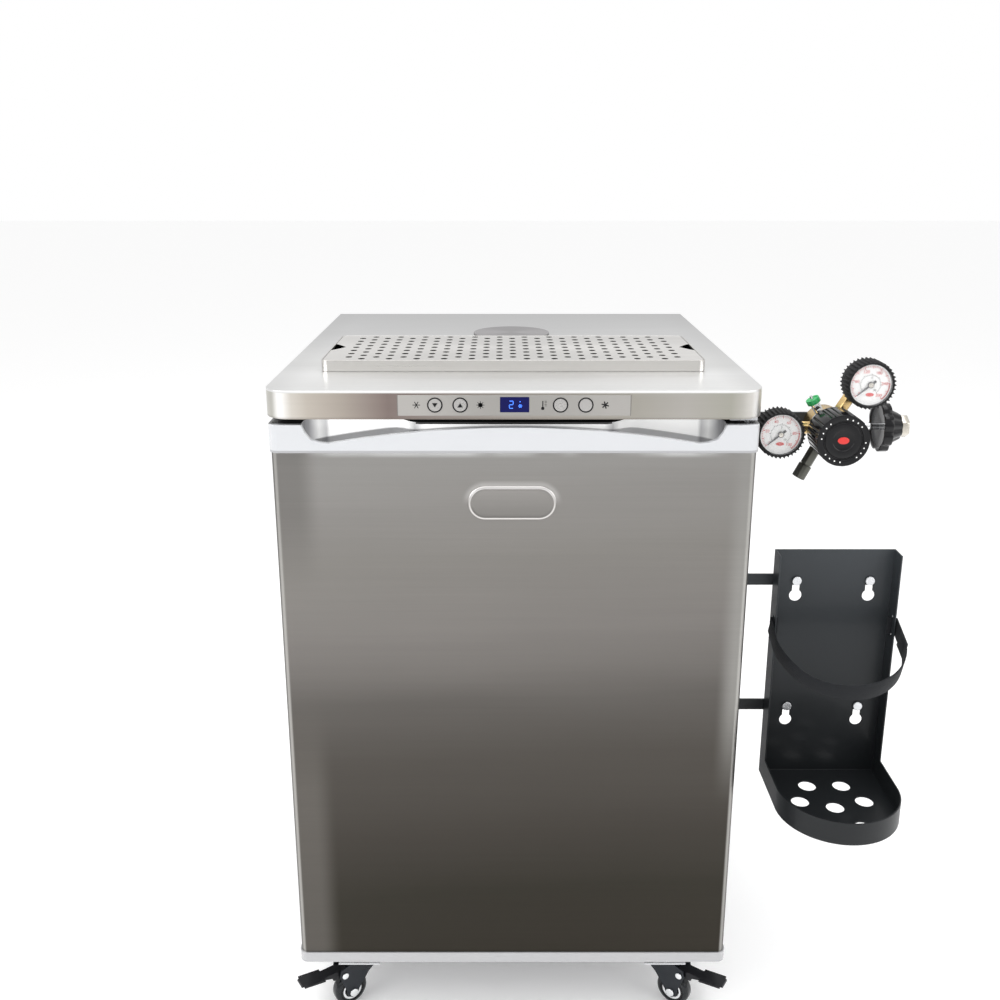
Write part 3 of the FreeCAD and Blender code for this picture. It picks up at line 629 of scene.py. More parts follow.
@dataclass(frozen=True)
class PanelPlastic(Plastic):
    """Silver plate with a fine dark outline and a painted reflection that pales both ends, the left end most.
    """

    half: float = 0.139

    def dress(self, paint: Paint) -> None:
        """Adds the outline and the painted reflection across the plate."""
        super().dress(paint)
        lit = paint.base()
        across = paint.part(0) - DATUM.x
        # painted reflection: paler towards both ends of the plate
        pale = paint.span(across, -0.02, -0.135) * 0.45 + paint.span(across, 0.03, 0.13) * 0.3
        lit = paint.blend(pale, lit, (0.46, 0.44, 0.42))
        ring = paint.span(across.size(), self.half - 0.0016, self.half - 0.0006)
        paint.set(Base_Color=paint.blend(ring * 0.7, lit, (0.10, 0.09, 0.085)))


@dataclass(frozen=True)
class Machined(Finish):
    """Turned or plated metal with fine tool lines round its length."""

    tint: Colour
    roughness: float = 0.22
    spread: float = 0.1

    def dress(self, paint: Paint) -> None:
        """Adds tool lines and a slight tarnish."""
        line = paint.noise((350.0, 700.0, 350.0), 4.0)
        stain = paint.noise((60.0, 60.0, 60.0), 3.0)
        dark = tuple(c * (1 - 2 * self.spread) for c in self.tint)
        paint.set(Metallic=1.0, Base_Color=paint.blend(stain * 0.7 + line * 0.3, dark, self.tint))
        paint.set(Roughness=(stain - 0.5) * 0.2 + (line - 0.5) * 0.1 + self.roughness)
        paint.bump(line, 0.01)


@dataclass(frozen=True)
class Webbing(Finish):
    """Woven strap: diagonal ribs across a dense weave."""

    tint: Colour

    def dress(self, paint: Paint) -> None:
        """Adds ribs from two crossed waves."""
        x, y, z = (paint.part(i) for i in range(3))
        rib = ((z + x * 0.4) * 3900.0).wave() * ((x + y) * 2600.0).wave()
        fuzz = paint.noise((1800.0, 1800.0, 1800.0), 2.0)
        mask = rib * 0.35 + fuzz * 0.5 + 0.2
        dark, light = (tuple(c * share for c in self.tint) for share in (0.5, 1.9))
        paint.set(Base_Color=paint.blend(mask, dark, light))
        paint.set(Roughness=fuzz * 0.2 + 0.7, Sheen_Weight=0.06, Specular_IOR_Level=0.2)
        paint.bump(mask, 0.25)


@dataclass(frozen=True)
class Foam(Finish):
    """Closed-cell foam."""

    tint: Colour

    def dress(self, paint: Paint) -> None:
        """Adds cells from a Voronoi pattern."""
        turned = paint.node("ShaderNodeMapping", Vector=paint.place(), Scale=(260.0, 260.0, 260.0))
        cells = paint.node("ShaderNodeTexVoronoi", None, Vector=paint.out(turned), Scale=1.0)
        cell = paint.out(cells, "Distance")
        paint.set(Base_Color=paint.blend(cell, tuple(c * 0.75 for c in self.tint), self.tint))
        paint.set(Roughness=cell * 0.1 + 0.85)
        paint.bump(cell, 0.4)


@dataclass(frozen=True)
class Glass(Finish):
    """Clear gauge window."""

    def dress(self, paint: Paint) -> None:
        """Thin clear sheet with faint dust."""
        dust = paint.noise((500.0, 500.0, 500.0), 3.0)
        paint.set(Base_Color=(0.98, 0.99, 1.0), Roughness=dust * 0.05 + 0.01, Alpha=dust * 0.05 + 0.06)
        paint.set(Specular_IOR_Level=0.6)


@dataclass(frozen=True)
class Glow(Finish):
    """Lit part of the display."""

    tint: Colour
    strength: float = 3.0

    def dress(self, paint: Paint) -> None:
        """Glows a little unevenly."""
        flicker = paint.noise((400.0, 400.0, 400.0), 2.0)
        paint.set(Base_Color=self.tint, Roughness=0.4, Specular_IOR_Level=0.12)
        paint.set(Emission_Strength=self.strength)
        paint.set(Emission_Color=paint.blend(flicker, tuple(c * 0.7 for c in self.tint), self.tint))


TOP_STEEL = TopSteel("worktop_steel", (0.74, 0.735, 0.725), Way.RIGHT, 0.32)
TRAY_STEEL = TraySteel("tray_steel", (0.66, 0.645, 0.62), Way.RIGHT, 0.3)
GRATE_STEEL = GrateSteel("grate_steel", (0.76, 0.745, 0.725), Way.RIGHT, 0.32)
COVER_STEEL = Brushed("cover_steel", (0.34, 0.33, 0.335), Way.RIGHT, 0.42)
DOOR_STEEL = DoorSteel("door_steel", (0.5, 0.5, 0.5), Way.RIGHT, 0.36)
SILVER = CapPlastic("silver_plastic", (0.58, 0.59, 0.61), 0.24, 0.5, 0.1, 0.008, 1500.0, 0.03)
BASE_SILVER = Plastic("base_silver", (0.42, 0.42, 0.43), 0.22, 0.6, 0.2, 0.008, 1500.0, 0.03)
PANEL_SILVER = PanelPlastic("panel_silver", (0.29, 0.28, 0.265), 0.34, 0.2, 0.2, 0.008, 1500.0)
KEY_SILVER = Plastic("key_silver", (0.37, 0.36, 0.35), 0.28, 0.4, 0.3, 0.01, 1200.0)
INK = Plastic("panel_ink", (0.012, 0.012, 0.013), 0.6, 0.0, 0.0, 0.004, gloss=0.1)
DISPLAY = Glow("display_field", (0.004, 0.005, 0.055), 0.5)
BLUE_GLOW = Glow("display_blue", (0.07, 0.22, 1.0), 0.9)
BODY_PAINT = Plastic("cabinet_paint", (0.27, 0.27, 0.28), 0.38, 0.2, 0.1, 0.03, 700.0)
LINER = Plastic("liner_plastic", (0.60, 0.60, 0.59), 0.3, 0.3, 0.0, 0.015)
FOAM = Foam("insulation_foam", (0.80, 0.70, 0.45))
GASKET = Plastic("gasket_rubber", (0.30, 0.30, 0.31), 0.6, 0.0, 0.0, 0.05)
ALUMINIUM = Machined("bare_aluminium", (0.78, 0.79, 0.80), 0.34)
POWDER = PowderCoat("black_powder_coat", (0.046, 0.052, 0.058), 0.40, 0.06, 0.0, 0.05, 1600.0, 0.25, 0.22)
FORK_BLACK = Plastic("fork_black", (0.012, 0.015, 0.020), 0.3, 0.15, 0.0, 0.03, 900.0, 0.25, gloss=0.22)
GLOSS_BLACK = Plastic("gloss_black", (0.006, 0.006, 0.007), 0.16, 0.15, 0.0, 0.02, 500.0, 0.3, gloss=0.22)
SATIN_BLACK = Plastic("satin_black", (0.009, 0.009, 0.011), 0.36, 0.06, 0.0, 0.04, 900.0, 0.3, gloss=0.22)
TYRE = Plastic("tyre_rubber", (0.010, 0.012, 0.014), 0.18, 0.3, 0.0, 0.03, 500.0, 0.3, gloss=0.22)
RUBBER = Plastic("boot_rubber", (0.010, 0.010, 0.011), 0.55, 0.0, 0.0, 0.08, 900.0, 0.3, gloss=0.22)
ZINC = Machined("zinc_plate", (0.72, 0.73, 0.75), 0.28)
CHROME = Machined("chrome_plate", (0.86, 0.87, 0.88), 0.12, 0.04)
BRASS = Machined("brass", (0.78, 0.56, 0.26), 0.25)
NICKEL = Machined("nickel", (0.66, 0.62, 0.55), 0.26)
DARK_METAL = Machined("dark_steel", (0.12, 0.12, 0.105), 0.42)
DIAL_WHITE = Plastic("dial_white", (0.86, 0.86, 0.85), 0.45, 0.0, 0.0, 0.004)
DIAL_RED = Plastic("dial_red", (0.62, 0.03, 0.025), 0.45, 0.0, 0.0, 0.004)
DIAL_BLACK = Plastic("dial_black", (0.012, 0.012, 0.014), 0.45, 0.0, 0.0, 0.004)
GREEN = Plastic("green_ring", (0.02, 0.36, 0.10), 0.35, 0.3, 0.0, 0.01)
STRAP = Webbing("strap_webbing", (0.010, 0.011, 0.013))
LENS = Glass("gauge_window")
FLOOR_PAPER = Paper("floor_paper", (0.94, 0.94, 0.94), 0.8, 0.0, 0.0, 0.0, 40.0, 0.01)


# --------------------------------------------------------------------------- bench
class Bench:
    """Hand modelling with Blender's own operators."""

    @staticmethod
    def focus(piece: bpy.types.Object) -> None:
        """Selects one piece only and makes it active."""
        bpy.ops.object.select_all(action="DESELECT")
        piece.select_set(True)
        bpy.context.view_layer.objects.active = piece

    @staticmethod
    def settle(piece: bpy.types.Object) -> None:
        """Puts a piece's place, turn and scale into its mesh."""
        Bench.focus(piece)
        bpy.ops.object.transform_apply(location=True, rotation=True, scale=True)

    @staticmethod
    def block(name: str, low: Triple, high: Triple) -> bpy.types.Object:
        """Adds a block between two corners.

        Args:
            name: the piece's name.
            low: lowest corner in cabinet millimetres.
            high: highest corner.

        Returns:
            The piece.
        """
        bpy.ops.object.select_all(action="DESELECT")
        middle = DATUM.at(*((a + b) / 2 for a, b in zip(low, high)))
        bpy.ops.mesh.primitive_cube_add(size=1.0, location=middle)
        piece = bpy.context.object
        piece.name = name
        piece.scale = [abs(b - a) * MM for a, b in zip(low, high)]
        Bench.settle(piece)
        return piece

    @staticmethod
    def round(name: str, middle: Triple, radius: float, depth: float, way: Vector | Way,
              sides: int = 48) -> bpy.types.Object:
        """Adds a round or polygonal bar.

        Args:
            name: the piece's name.
            middle: the bar's middle in cabinet millimetres.
            radius: its radius to the corners.
            depth: its length.
            way: its direction.
            sides: number of sides.

        Returns:
            The piece.
        """
        direction = Vector(way.value) if isinstance(way, Way) else way
        bpy.ops.object.select_all(action="DESELECT")
        turn = direction.to_track_quat("Z", "Y").to_euler()
        bpy.ops.mesh.primitive_cylinder_add(vertices=sides, radius=radius * MM, depth=depth * MM,
                                            location=DATUM.at(*middle), rotation=turn)
        piece = bpy.context.object
        piece.name = name
        Bench.settle(piece)
        return piece

    @staticmethod
    @contextmanager
    def edit(piece: bpy.types.Object, kind: Pick, test: Callable[[object], bool]) -> Iterator[None]:
        """Opens a piece for editing with the parts chosen that pass a test.

        Args:
            piece: the piece.
            kind: which parts are chosen.
            test: passes the parts wanted.
        """
        Bench.focus(piece)
        bpy.ops.object.mode_set(mode="EDIT")
        bpy.ops.mesh.select_mode(type=kind.value)
        bpy.ops.mesh.select_all(action="DESELECT")
        mesh = bmesh.from_edit_mesh(piece.data)
        parts = {Pick.VERTS: mesh.verts, Pick.EDGES: mesh.edges, Pick.FACES: mesh.faces}[kind]
        for part in parts:
            if test(part):
                part.select_set(True)
        bmesh.update_edit_mesh(piece.data)
        yield
        bpy.ops.object.mode_set(mode="OBJECT")

    @staticmethod
    def facing(way: Vector | Way, sign: float = 1.0) -> Callable[[bmesh.types.BMFace], bool]:
        """A test for faces that look in a direction."""
        direction = Vector(way.value) if isinstance(way, Way) else way.normalized()
        return lambda face: face.normal.dot(direction) * sign > 0.99

    @staticmethod
    def steps(piece: bpy.types.Object, test: Callable, moves: Sequence[tuple[float, float]]) -> None:
        """Insets the chosen face again and again.

        Args:
            piece: the piece.
            test: passes the face.
            moves: pairs of inset width and outward rise, in millimetres.
        """
        with Bench.edit(piece, Pick.FACES, test):
            for width, rise in moves:
                bpy.ops.mesh.inset(thickness=width * MM, depth=rise * MM)

    @staticmethod
    def bevel(piece: bpy.types.Object, width: float, segments: int = 3,
              angle: float = 35.0) -> bpy.types.Object:
        """Rounds a piece's sharp edges and smooths it."""
        made = piece.modifiers.new("round", "BEVEL")
        made.width = width * MM
        made.segments = segments
        made.limit_method = "ANGLE"
        made.angle_limit = math.radians(angle)
        Bench.focus(piece)
        bpy.ops.object.modifier_apply(modifier=made.name)
        bpy.ops.object.shade_smooth_by_angle(angle=math.radians(angle + 5))
        return piece

    @staticmethod
    def squeeze(piece: bpy.types.Object, level: float, share: float) -> bpy.types.Object:
        """Makes a disc oval: squeezes its height about a level in millimetres to a share."""
        for vert in piece.data.vertices:
            vert.co.z = (vert.co.z - level * MM) * share + level * MM
        return piece

    @staticmethod
    def join(name: str, pieces: Sequence[bpy.types.Object]) -> bpy.types.Object:
        """Joins pieces into the first one."""
        bpy.ops.object.select_all(action="DESELECT")
        for piece in pieces:
            piece.select_set(True)
        bpy.context.view_layer.objects.active = pieces[0]
        if len(pieces) > 1:
            bpy.ops.object.join()
        pieces[0].name = name
        return pieces[0]

    @staticmethod
    def copy(piece: bpy.types.Object, name: str, move: Matrix) -> bpy.types.Object:
        """Copies a piece with its own mesh, moved by a matrix in the frame's metres."""
        made = piece.copy()
        made.data = piece.data.copy()
        made.name = name
        made.data.transform(move)
        bpy.context.scene.collection.objects.link(made)
        return made

    @staticmethod
    def words(name: str, text: str, height: float, middle: Triple, turn: float = 0.0) -> bpy.types.Object:
        """Prints a number flat on a face that looks to the front.

        Args:
            name: the piece's name.
            text: the figures.
            height: the figures' height in millimetres.
            middle: their middle in cabinet millimetres.
            turn: clockwise turn in degrees.

        Returns:
            The printed mesh.
        """
        bpy.ops.object.select_all(action="DESELECT")
        bpy.ops.object.text_add(location=DATUM.at(*middle), rotation=(math.pi / 2, math.radians(turn), 0.0))
        piece = bpy.context.object
        piece.name = name
        piece.data.body = text
        piece.data.size = height * 1.4 * MM
        piece.data.align_x = "CENTER"
        piece.data.align_y = "CENTER"
        piece.data.extrude = 0.03 * MM
        piece.data.resolution_u = 3
        Bench.focus(piece)
        bpy.ops.object.convert(target="MESH")
        piece = bpy.context.object
        Bench.settle(piece)
        return piece


def show(piece: bpy.types.Object, finish: Finish, body: str, slot: str,
         nodes: Sequence[str] = ()) -> bpy.types.Object:
    """Finishes a piece and hangs it on its body.

    Args:
        piece: the piece.
        finish: its finish.
        body: the CAD body that it moves with.
        slot: the record's material slot; not used.
        nodes: CAD nodes that it stands for.

    Returns:
        The piece.
    """
    piece.data.materials.clear()
    piece.data.materials.append(finish.material())
    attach(piece, body)
    if nodes:
        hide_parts(*nodes)
    LOG.info("piece %s on %s", piece.name, body)
    return piece


def carry(node: str, finish: Finish, radius: float = 0.0, segments: int = 2) -> None:
    """Keeps a CAD node, with a finish and rounded edges.

    Args:
        node: the node.
        finish: its finish.
        radius: edge radius in millimetres, or none.
        segments: steps round each edge.
    """
    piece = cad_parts[node]
    material = finish.material()
    if not piece.data.materials:
        piece.data.materials.append(material)
    for place in piece.material_slots:
        place.material = material
    piece.data.polygons.foreach_set("use_smooth", [True] * len(piece.data.polygons))
    weld = piece.modifiers.new("weld", "WELD")
    weld.merge_threshold = 0.002 * MM
    if radius:
        flat = piece.modifiers.new("flat", "DECIMATE")
        flat.decimate_type = "DISSOLVE"
        flat.angle_limit = math.radians(1.0)
        soft = piece.modifiers.new("round", "BEVEL")
        soft.width = radius * MM
        soft.segments = segments
        soft.limit_method = "ANGLE"
        soft.angle_limit = math.radians(40.0)
        even = piece.modifiers.new("even", "WEIGHTED_NORMAL")
        even.keep_sharp = True
    else:
        split = piece.modifiers.new("split", "EDGE_SPLIT")
        split.split_angle = math.radians(35.0)
    LOG.info("node %s keeps its shape", node)


# --------------------------------------------------------------------------- cabinet
@dataclass
class Cabinet:
    """Panels, liner and machine bay."""

    shell: tuple[str, ...] = ("side_panel_left", "side_panel_right", "rear_panel", "base_pan", "rear_grille")
    foams: tuple[str, ...] = ("cabinet_foam", "door_foam")
    metals: tuple[str, ...] = ("keg_floor", "evaporator", "condenser")
    others: tuple[tuple[str, Finish, float], ...] = (
        # black core, guessed as its moulding, also stands in for the shade in the gap under the worktop's
        # front
        ("worktop_core", SATIN_BLACK, 0.0),
        ("inner_liner", LINER, 0.0),
        ("fan_rotor", SATIN_BLACK, 0.0),
        ("evaporator_cover", LINER, 0.8),
        ("compressor", GLOSS_BLACK, 1.0),
        ("panel_screws", ZINC, 0.5),
        ("top_hinge", ZINC, 0.4),
        ("bottom_hinge", ZINC, 0.4),
        ("caster_plates", ZINC, 0.4),
        ("power_inlet", SATIN_BLACK, 0.3),
        ("gas_grommet", RUBBER, 0.5),
    )

    def gap_strip(self) -> bpy.types.Object:
        """Black strip along the cabinet's top edge, behind the gap over the door: guessed as a sealing strip,
        it also stands in for the shade in that gap.

        Returns:
            The strip, with a groove along its face.
        """
        piece = Bench.block("gap_strip", (-289.0, 56.5, 898.9), (255.0, 61.8, 905.3))
        Bench.steps(piece, Bench.facing(Way.BACK, -1), ((1.6, 0.0), (0.4, -1.2)))
        return Bench.bevel(piece, 0.5, 2)

    def build(self) -> None:
        """Dresses the fixed cabinet."""
        for node in self.shell:
            carry(node, BODY_PAINT)
        for node in self.foams:
            carry(node, FOAM)
        for node in self.metals:
            carry(node, ALUMINIUM)
        for node, finish, radius in self.others:
            carry(node, finish, radius)
        # the black strip stands in for the shade in the gap over the door
        show(self.gap_strip(), RUBBER, "cabinet", "gasket_rubber")


@dataclass
class Worktop:
    """Pressed steel top with the lift-out tray, grate and hole cover."""

    def build(self) -> None:
        """Dresses the top."""
        carry("worktop", TOP_STEEL, 2.2, 4)
        carry("drip_tray", TRAY_STEEL, 0.3, 2)
        carry("drip_grate", GRATE_STEEL)
        carry("tower_cover", COVER_STEEL, 0.8, 3)


@dataclass
class Door:
    """Door with its skin, caps, gasket and blank badge."""

    badge_low: Triple = (-56.0, 0.9, 778.5)
    badge_high: Triple = (52.0, 3.0, 821.4)

    def badge(self) -> bpy.types.Object:
        """A pressed pill-shaped plate with a raised rim and a raised field.

        Returns:
            The badge.
        """
        x0, y0, z0 = self.badge_low
        x1, y1, z1 = self.badge_high
        piece = Bench.block("badge_plate", (x0, y0 + 0.9, z0), (x1, y1 + 0.2, z1))
        with Bench.edit(piece, Pick.EDGES, lambda e: abs((e.verts[0].co - e.verts[1].co).y) > 1e-5):
            bpy.ops.mesh.bevel(offset=20.5 * MM, segments=14, affect="EDGES")
        Bench.steps(piece, Bench.facing(Way.BACK, -1),
                    ((0.8, 0.5), (1.2, 0.35), (1.4, 0.0), (1.2, -0.45), (0.8, -0.35)))
        return Bench.bevel(piece, 0.3, 2, 20.0)

    def build(self) -> None:
        """Dresses the door."""
        carry("door_skin", DOOR_STEEL)
        carry("door_top_cap", SILVER, 2.2, 4)
        carry("door_bottom_cap", BASE_SILVER, 4.5, 5)
        carry("door_liner", LINER, 1.2, 3)
        carry("door_gasket", GASKET, 1.0, 2)
        show(self.badge(), DOOR_STEEL, "door", "stainless_door", ["door_badge"])


@dataclass
class ControlPanel:
    """Plate with four keys, a small display and plain signs."""

    face: float = -1.5
    height: float = 923.5
    display: float = 924.0
    snow: float = -116.0
    sun: float = -40.0
    scale: float = 34.0
    fan: float = 108.0
    keys: dict[str, float] = field(
        default_factory=lambda: {"down": -94.0, "up": -64.0, "unit": 55.0, "fan": 85.0})

    def bar(self, name: str, x: float, z: float, width: float, tall: float, turn: float = 0.0,
            y: float | None = None) -> bpy.types.Object:
        """A printed bar on the plate, turned clockwise about its own middle."""
        face = self.face if y is None else y
        piece = Bench.block(name, (x - width / 2, face - 0.06, z - tall / 2),
                            (x + width / 2, face + 0.1, z + tall / 2))
        piece.data.transform(turn_about(DATUM.at(x, face, z), turn, "Y"))
        return piece

    def rings(self) -> bpy.types.Object:
        """Dark rings round the keys."""
        made = []
        for label, x in self.keys.items():
            ring = Bench.round(f"ring_{label}", (x, self.face - 0.05, self.height), 9.2, 0.5, Way.BACK, 48)
            Bench.steps(ring, Bench.facing(Way.BACK, -1), ((0.4, 0.15), (0.9, -0.1), (0.15, -0.4)))
            with Bench.edit(ring, Pick.FACES, lambda f: f.calc_area() > 1.5e-4):
                bpy.ops.mesh.delete(type="FACE")
            made.append(ring)
        return Bench.join("key_rings", made)

    def key(self, label: str, x: float) -> bpy.types.Object:
        """A domed round key."""
        piece = Bench.round(f"key_{label}", (x, 1.6, self.height), 7.55, 8.2, Way.BACK, 40)
        Bench.steps(piece, Bench.facing(Way.BACK, -1), ((1.0, 0.0), (2.4, 0.18), (2.0, 0.1)))
        return Bench.bevel(piece, 0.5, 3)

    def signs(self) -> list[bpy.types.Object]:
        """Arrows on the first two keys, drawn as stacked bars."""
        made = []
        for label, flip in (("down", -1), ("up", 1)):
            x = self.keys[label]
            rows = [self.bar("arrow_row", x, self.height + flip * (i * 0.8 - 2.2), 6.0 - i, 0.82, 0.0, -2.9)
                    for i in range(6)]
            made.append(Bench.join(f"arrow_{label}", rows))
        return made

    def symbols(self) -> bpy.types.Object:
        """Generic symbols beside the keys: snowflake, sun, scale and fan."""
        made = []
        for i in range(3):
            made.append(self.bar(f"snow_{i}", self.snow, self.height, 9.0, 0.9, 60.0 * i))
            made.append(self.bar(f"blade_{i}", self.fan, self.height, 9.0, 1.5, 60.0 * i + 15.0))
        for i in range(4):
            made.append(self.bar(f"sun_{i}", self.sun, self.height, 9.5, 0.7, 45.0 * i))
        for name, x, z, radius, depth in (("sun_disc", self.sun, self.height, 2.7, 0.12),
                                          ("fan_hub", self.fan, self.height, 1.7, 0.16),
                                          ("scale_bulb", self.scale, self.height - 4.0, 2.0, 0.14)):
            made.append(Bench.round(name, (x, self.face, z), radius, depth, Way.BACK, 24))
        made.append(self.bar("scale_stem", self.scale, self.height + 0.8, 1.2, 8.5))
        for i in range(4):
            made.append(self.bar(f"scale_{i}", self.scale + 3.4, self.height - 1.0 + i * 1.9, 2.6, 0.6))
        return Bench.join("panel_symbols", made)

    def digits(self) -> bpy.types.Object:
        """A lit figure and a small lit fan."""
        x, y, z = -3.4, -1.72, self.display
        strokes = ((0.0, 4.4, 4.2, 0.9), (0.0, 0.0, 4.2, 0.9), (0.0, -4.4, 4.2, 0.9), (2.3, 2.2, 0.9, 3.4),
                   (-2.3, -2.2, 0.9, 3.4))
        made = [self.bar("stroke", x + across, z + rise, width, tall, 0.0, y)
                for across, rise, width, tall in strokes]
        for i in range(3):
            made.append(self.bar(f"lit_blade_{i}", 7.2, z - 1.6, 4.6, 0.9, 60.0 * i, y))
        made.append(self.bar("lit_dot", 7.0, z + 3.6, 1.2, 1.2, 0.0, y))
        return Bench.join("display_figure", made)

    def build(self) -> None:
        """Builds the panel."""
        carry("control_panel", PANEL_SILVER, 0.5, 2)
        carry("display_window", DISPLAY)
        show(self.rings(), GLOSS_BLACK, "cabinet", "silver_plastic")
        for label, x in self.keys.items():
            show(self.key(label, x), KEY_SILVER, f"button_{label}", "button_grey", [f"button_{label}"])
        for label, sign in zip(("down", "up"), self.signs()):
            show(sign, INK, f"button_{label}", "button_grey")
        show(self.symbols(), INK, "cabinet", "silver_plastic")
        show(self.digits(), BLUE_GLOW, "cabinet", "display_black")


# --------------------------------------------------------------------------- casters
@dataclass
class Caster:
    """One swivel caster; its wheel trails outwards."""

    x: float
    y: float
    turn: float
    trail: float = 22.0
    radius: float = 25.0
    half: float = 9.5

    def move(self) -> Matrix:
        """The matrix from the first caster's own frame, in metres, to this corner."""
        turn = Matrix.Rotation(math.radians(self.turn), 4, "Z")
        return (Matrix.Translation(DATUM.at(self.x, self.y, 0.0)) @ turn
                @ Matrix.Translation(-DATUM.at(0.0, 0.0, 0.0)))

    @classmethod
    def tyre(cls) -> bpy.types.Object:
        """A round-shouldered tyre.

        Returns:
            The tyre in the caster's own frame.
        """
        piece = Bench.round("tyre", (cls.trail, 0.0, cls.radius), cls.radius, 2 * cls.half, Way.BACK, 64)
        for sign in (-1, 1):
            Bench.steps(piece, Bench.facing(Way.BACK, sign), ((7.2, 0.0), (0.5, -1.0)))

        def shoulder(edge: bmesh.types.BMEdge) -> bool:
            """An edge round one end of the tread."""
            spots = [vert.co for vert in edge.verts]
            reach = [Vector((s.x - DATUM.x - cls.trail * MM, s.z - cls.radius * MM)).length for s in spots]
            return (all(abs(way - cls.radius * MM) < 1e-5 for way in reach)
                    and abs(spots[0].y - spots[1].y) < 1e-6)

        with Bench.edit(piece, Pick.EDGES, shoulder):
            bpy.ops.mesh.bevel(offset=6.5 * MM, segments=7, affect="EDGES")
        Bench.focus(piece)
        bpy.ops.object.shade_smooth_by_angle(angle=math.radians(40))
        return piece

    @classmethod
    def hub(cls) -> bpy.types.Object:
        """A dished wheel centre with a raised boss."""
        piece = Bench.round("hub", (cls.trail, 0.0, cls.radius), 17.2, 2 * cls.half - 0.8, Way.BACK, 48)
        for sign in (-1, 1):
            Bench.steps(piece, Bench.facing(Way.BACK, sign),
                        ((3.0, 0.0), (0.8, -2.8), (5.4, 0.0), (0.6, 2.6)))
        return Bench.bevel(piece, 0.35, 2)

    @classmethod
    def trim(cls) -> bpy.types.Object:
        """A bright ring on each side of the hub."""
        made = []
        for sign in (-1, 1):
            middle = (cls.trail, sign * (cls.half - 0.35), cls.radius)
            ring = Bench.round("trim_ring", middle, 14.4, 0.9, Way.BACK, 48)
            Bench.steps(ring, Bench.facing(Way.BACK, sign), ((0.9, 0.35), (1.3, 0.0), (0.9, -0.35)))
            with Bench.edit(ring, Pick.FACES, lambda f: f.calc_area() > 2.0e-4):
                bpy.ops.mesh.delete(type="FACE")
            Bench.focus(ring)
            bpy.ops.object.shade_smooth_by_angle(angle=math.radians(50))
            made.append(ring)
        return Bench.join("trim", made)

    @classmethod
    def bolts(cls, brake: bool) -> bpy.types.Object:
        """Domed bright bolt heads on the fork's cheeks."""
        made = []
        spots = [(cls.trail, cls.radius, 6.0, 3.2)] + ([(34.0, 59.0, 4.9, 2.6)] if brake else [])
        for u, z, radius, tall in spots:
            for sign in (-1, 1):
                head = Bench.round("bolt", (u, sign * (13.5 + tall / 2), z), radius, tall, Way.BACK, 32)
                Bench.steps(head, Bench.facing(Way.BACK, sign), ((radius * 0.25, 0.0), (radius * 0.3, 0.3)))
                made.append(Bench.bevel(head, 0.8, 3))
        return Bench.join("bolts", made)


@dataclass
class Undercarriage:
    """Four casters, two with brakes."""

    places: tuple[tuple[str, float, float, float], ...] = (
        ("front_left", -222.0, 84.0, 213.0),
        ("front_right", 222.0, 84.0, -33.0),
        ("rear_left", -222.0, 590.0, 147.0),
        ("rear_right", 222.0, 590.0, 33.0),
    )

    def build(self) -> None:
        """Models one caster's bright and black pieces and copies them to each corner."""
        models = {"tyre": Caster.tyre(), "hub": Caster.hub(), "trim": Caster.trim(),
                  "bolts": Caster.bolts(False), "brake_bolts": Caster.bolts(True)}
        for label, x, y, turn in self.places:
            front = label.startswith("front")
            carry(f"caster_fork_{label}", FORK_BLACK, 0.5, 2)
            if front:
                carry(f"brake_pedal_{label[6:]}", SATIN_BLACK, 0.7, 2)
            bolts = "brake_bolts" if front else "bolts"
            for name, finish, body, slot in (("tyre", TYRE, "wheel_", "tyre"),
                                             ("hub", GLOSS_BLACK, "wheel_", "tyre"),
                                             ("trim", CHROME, "wheel_", "tyre"),
                                             (bolts, CHROME, "caster_", "fork_black")):
                piece = Bench.copy(models[name], f"{name}_{label}", Caster(x, y, turn).move())
                stands = [f"caster_wheel_{label}"] if name == "tyre" else []
                show(piece, finish, body + label, slot, stands)
        for model in models.values():
            bpy.data.objects.remove(model)


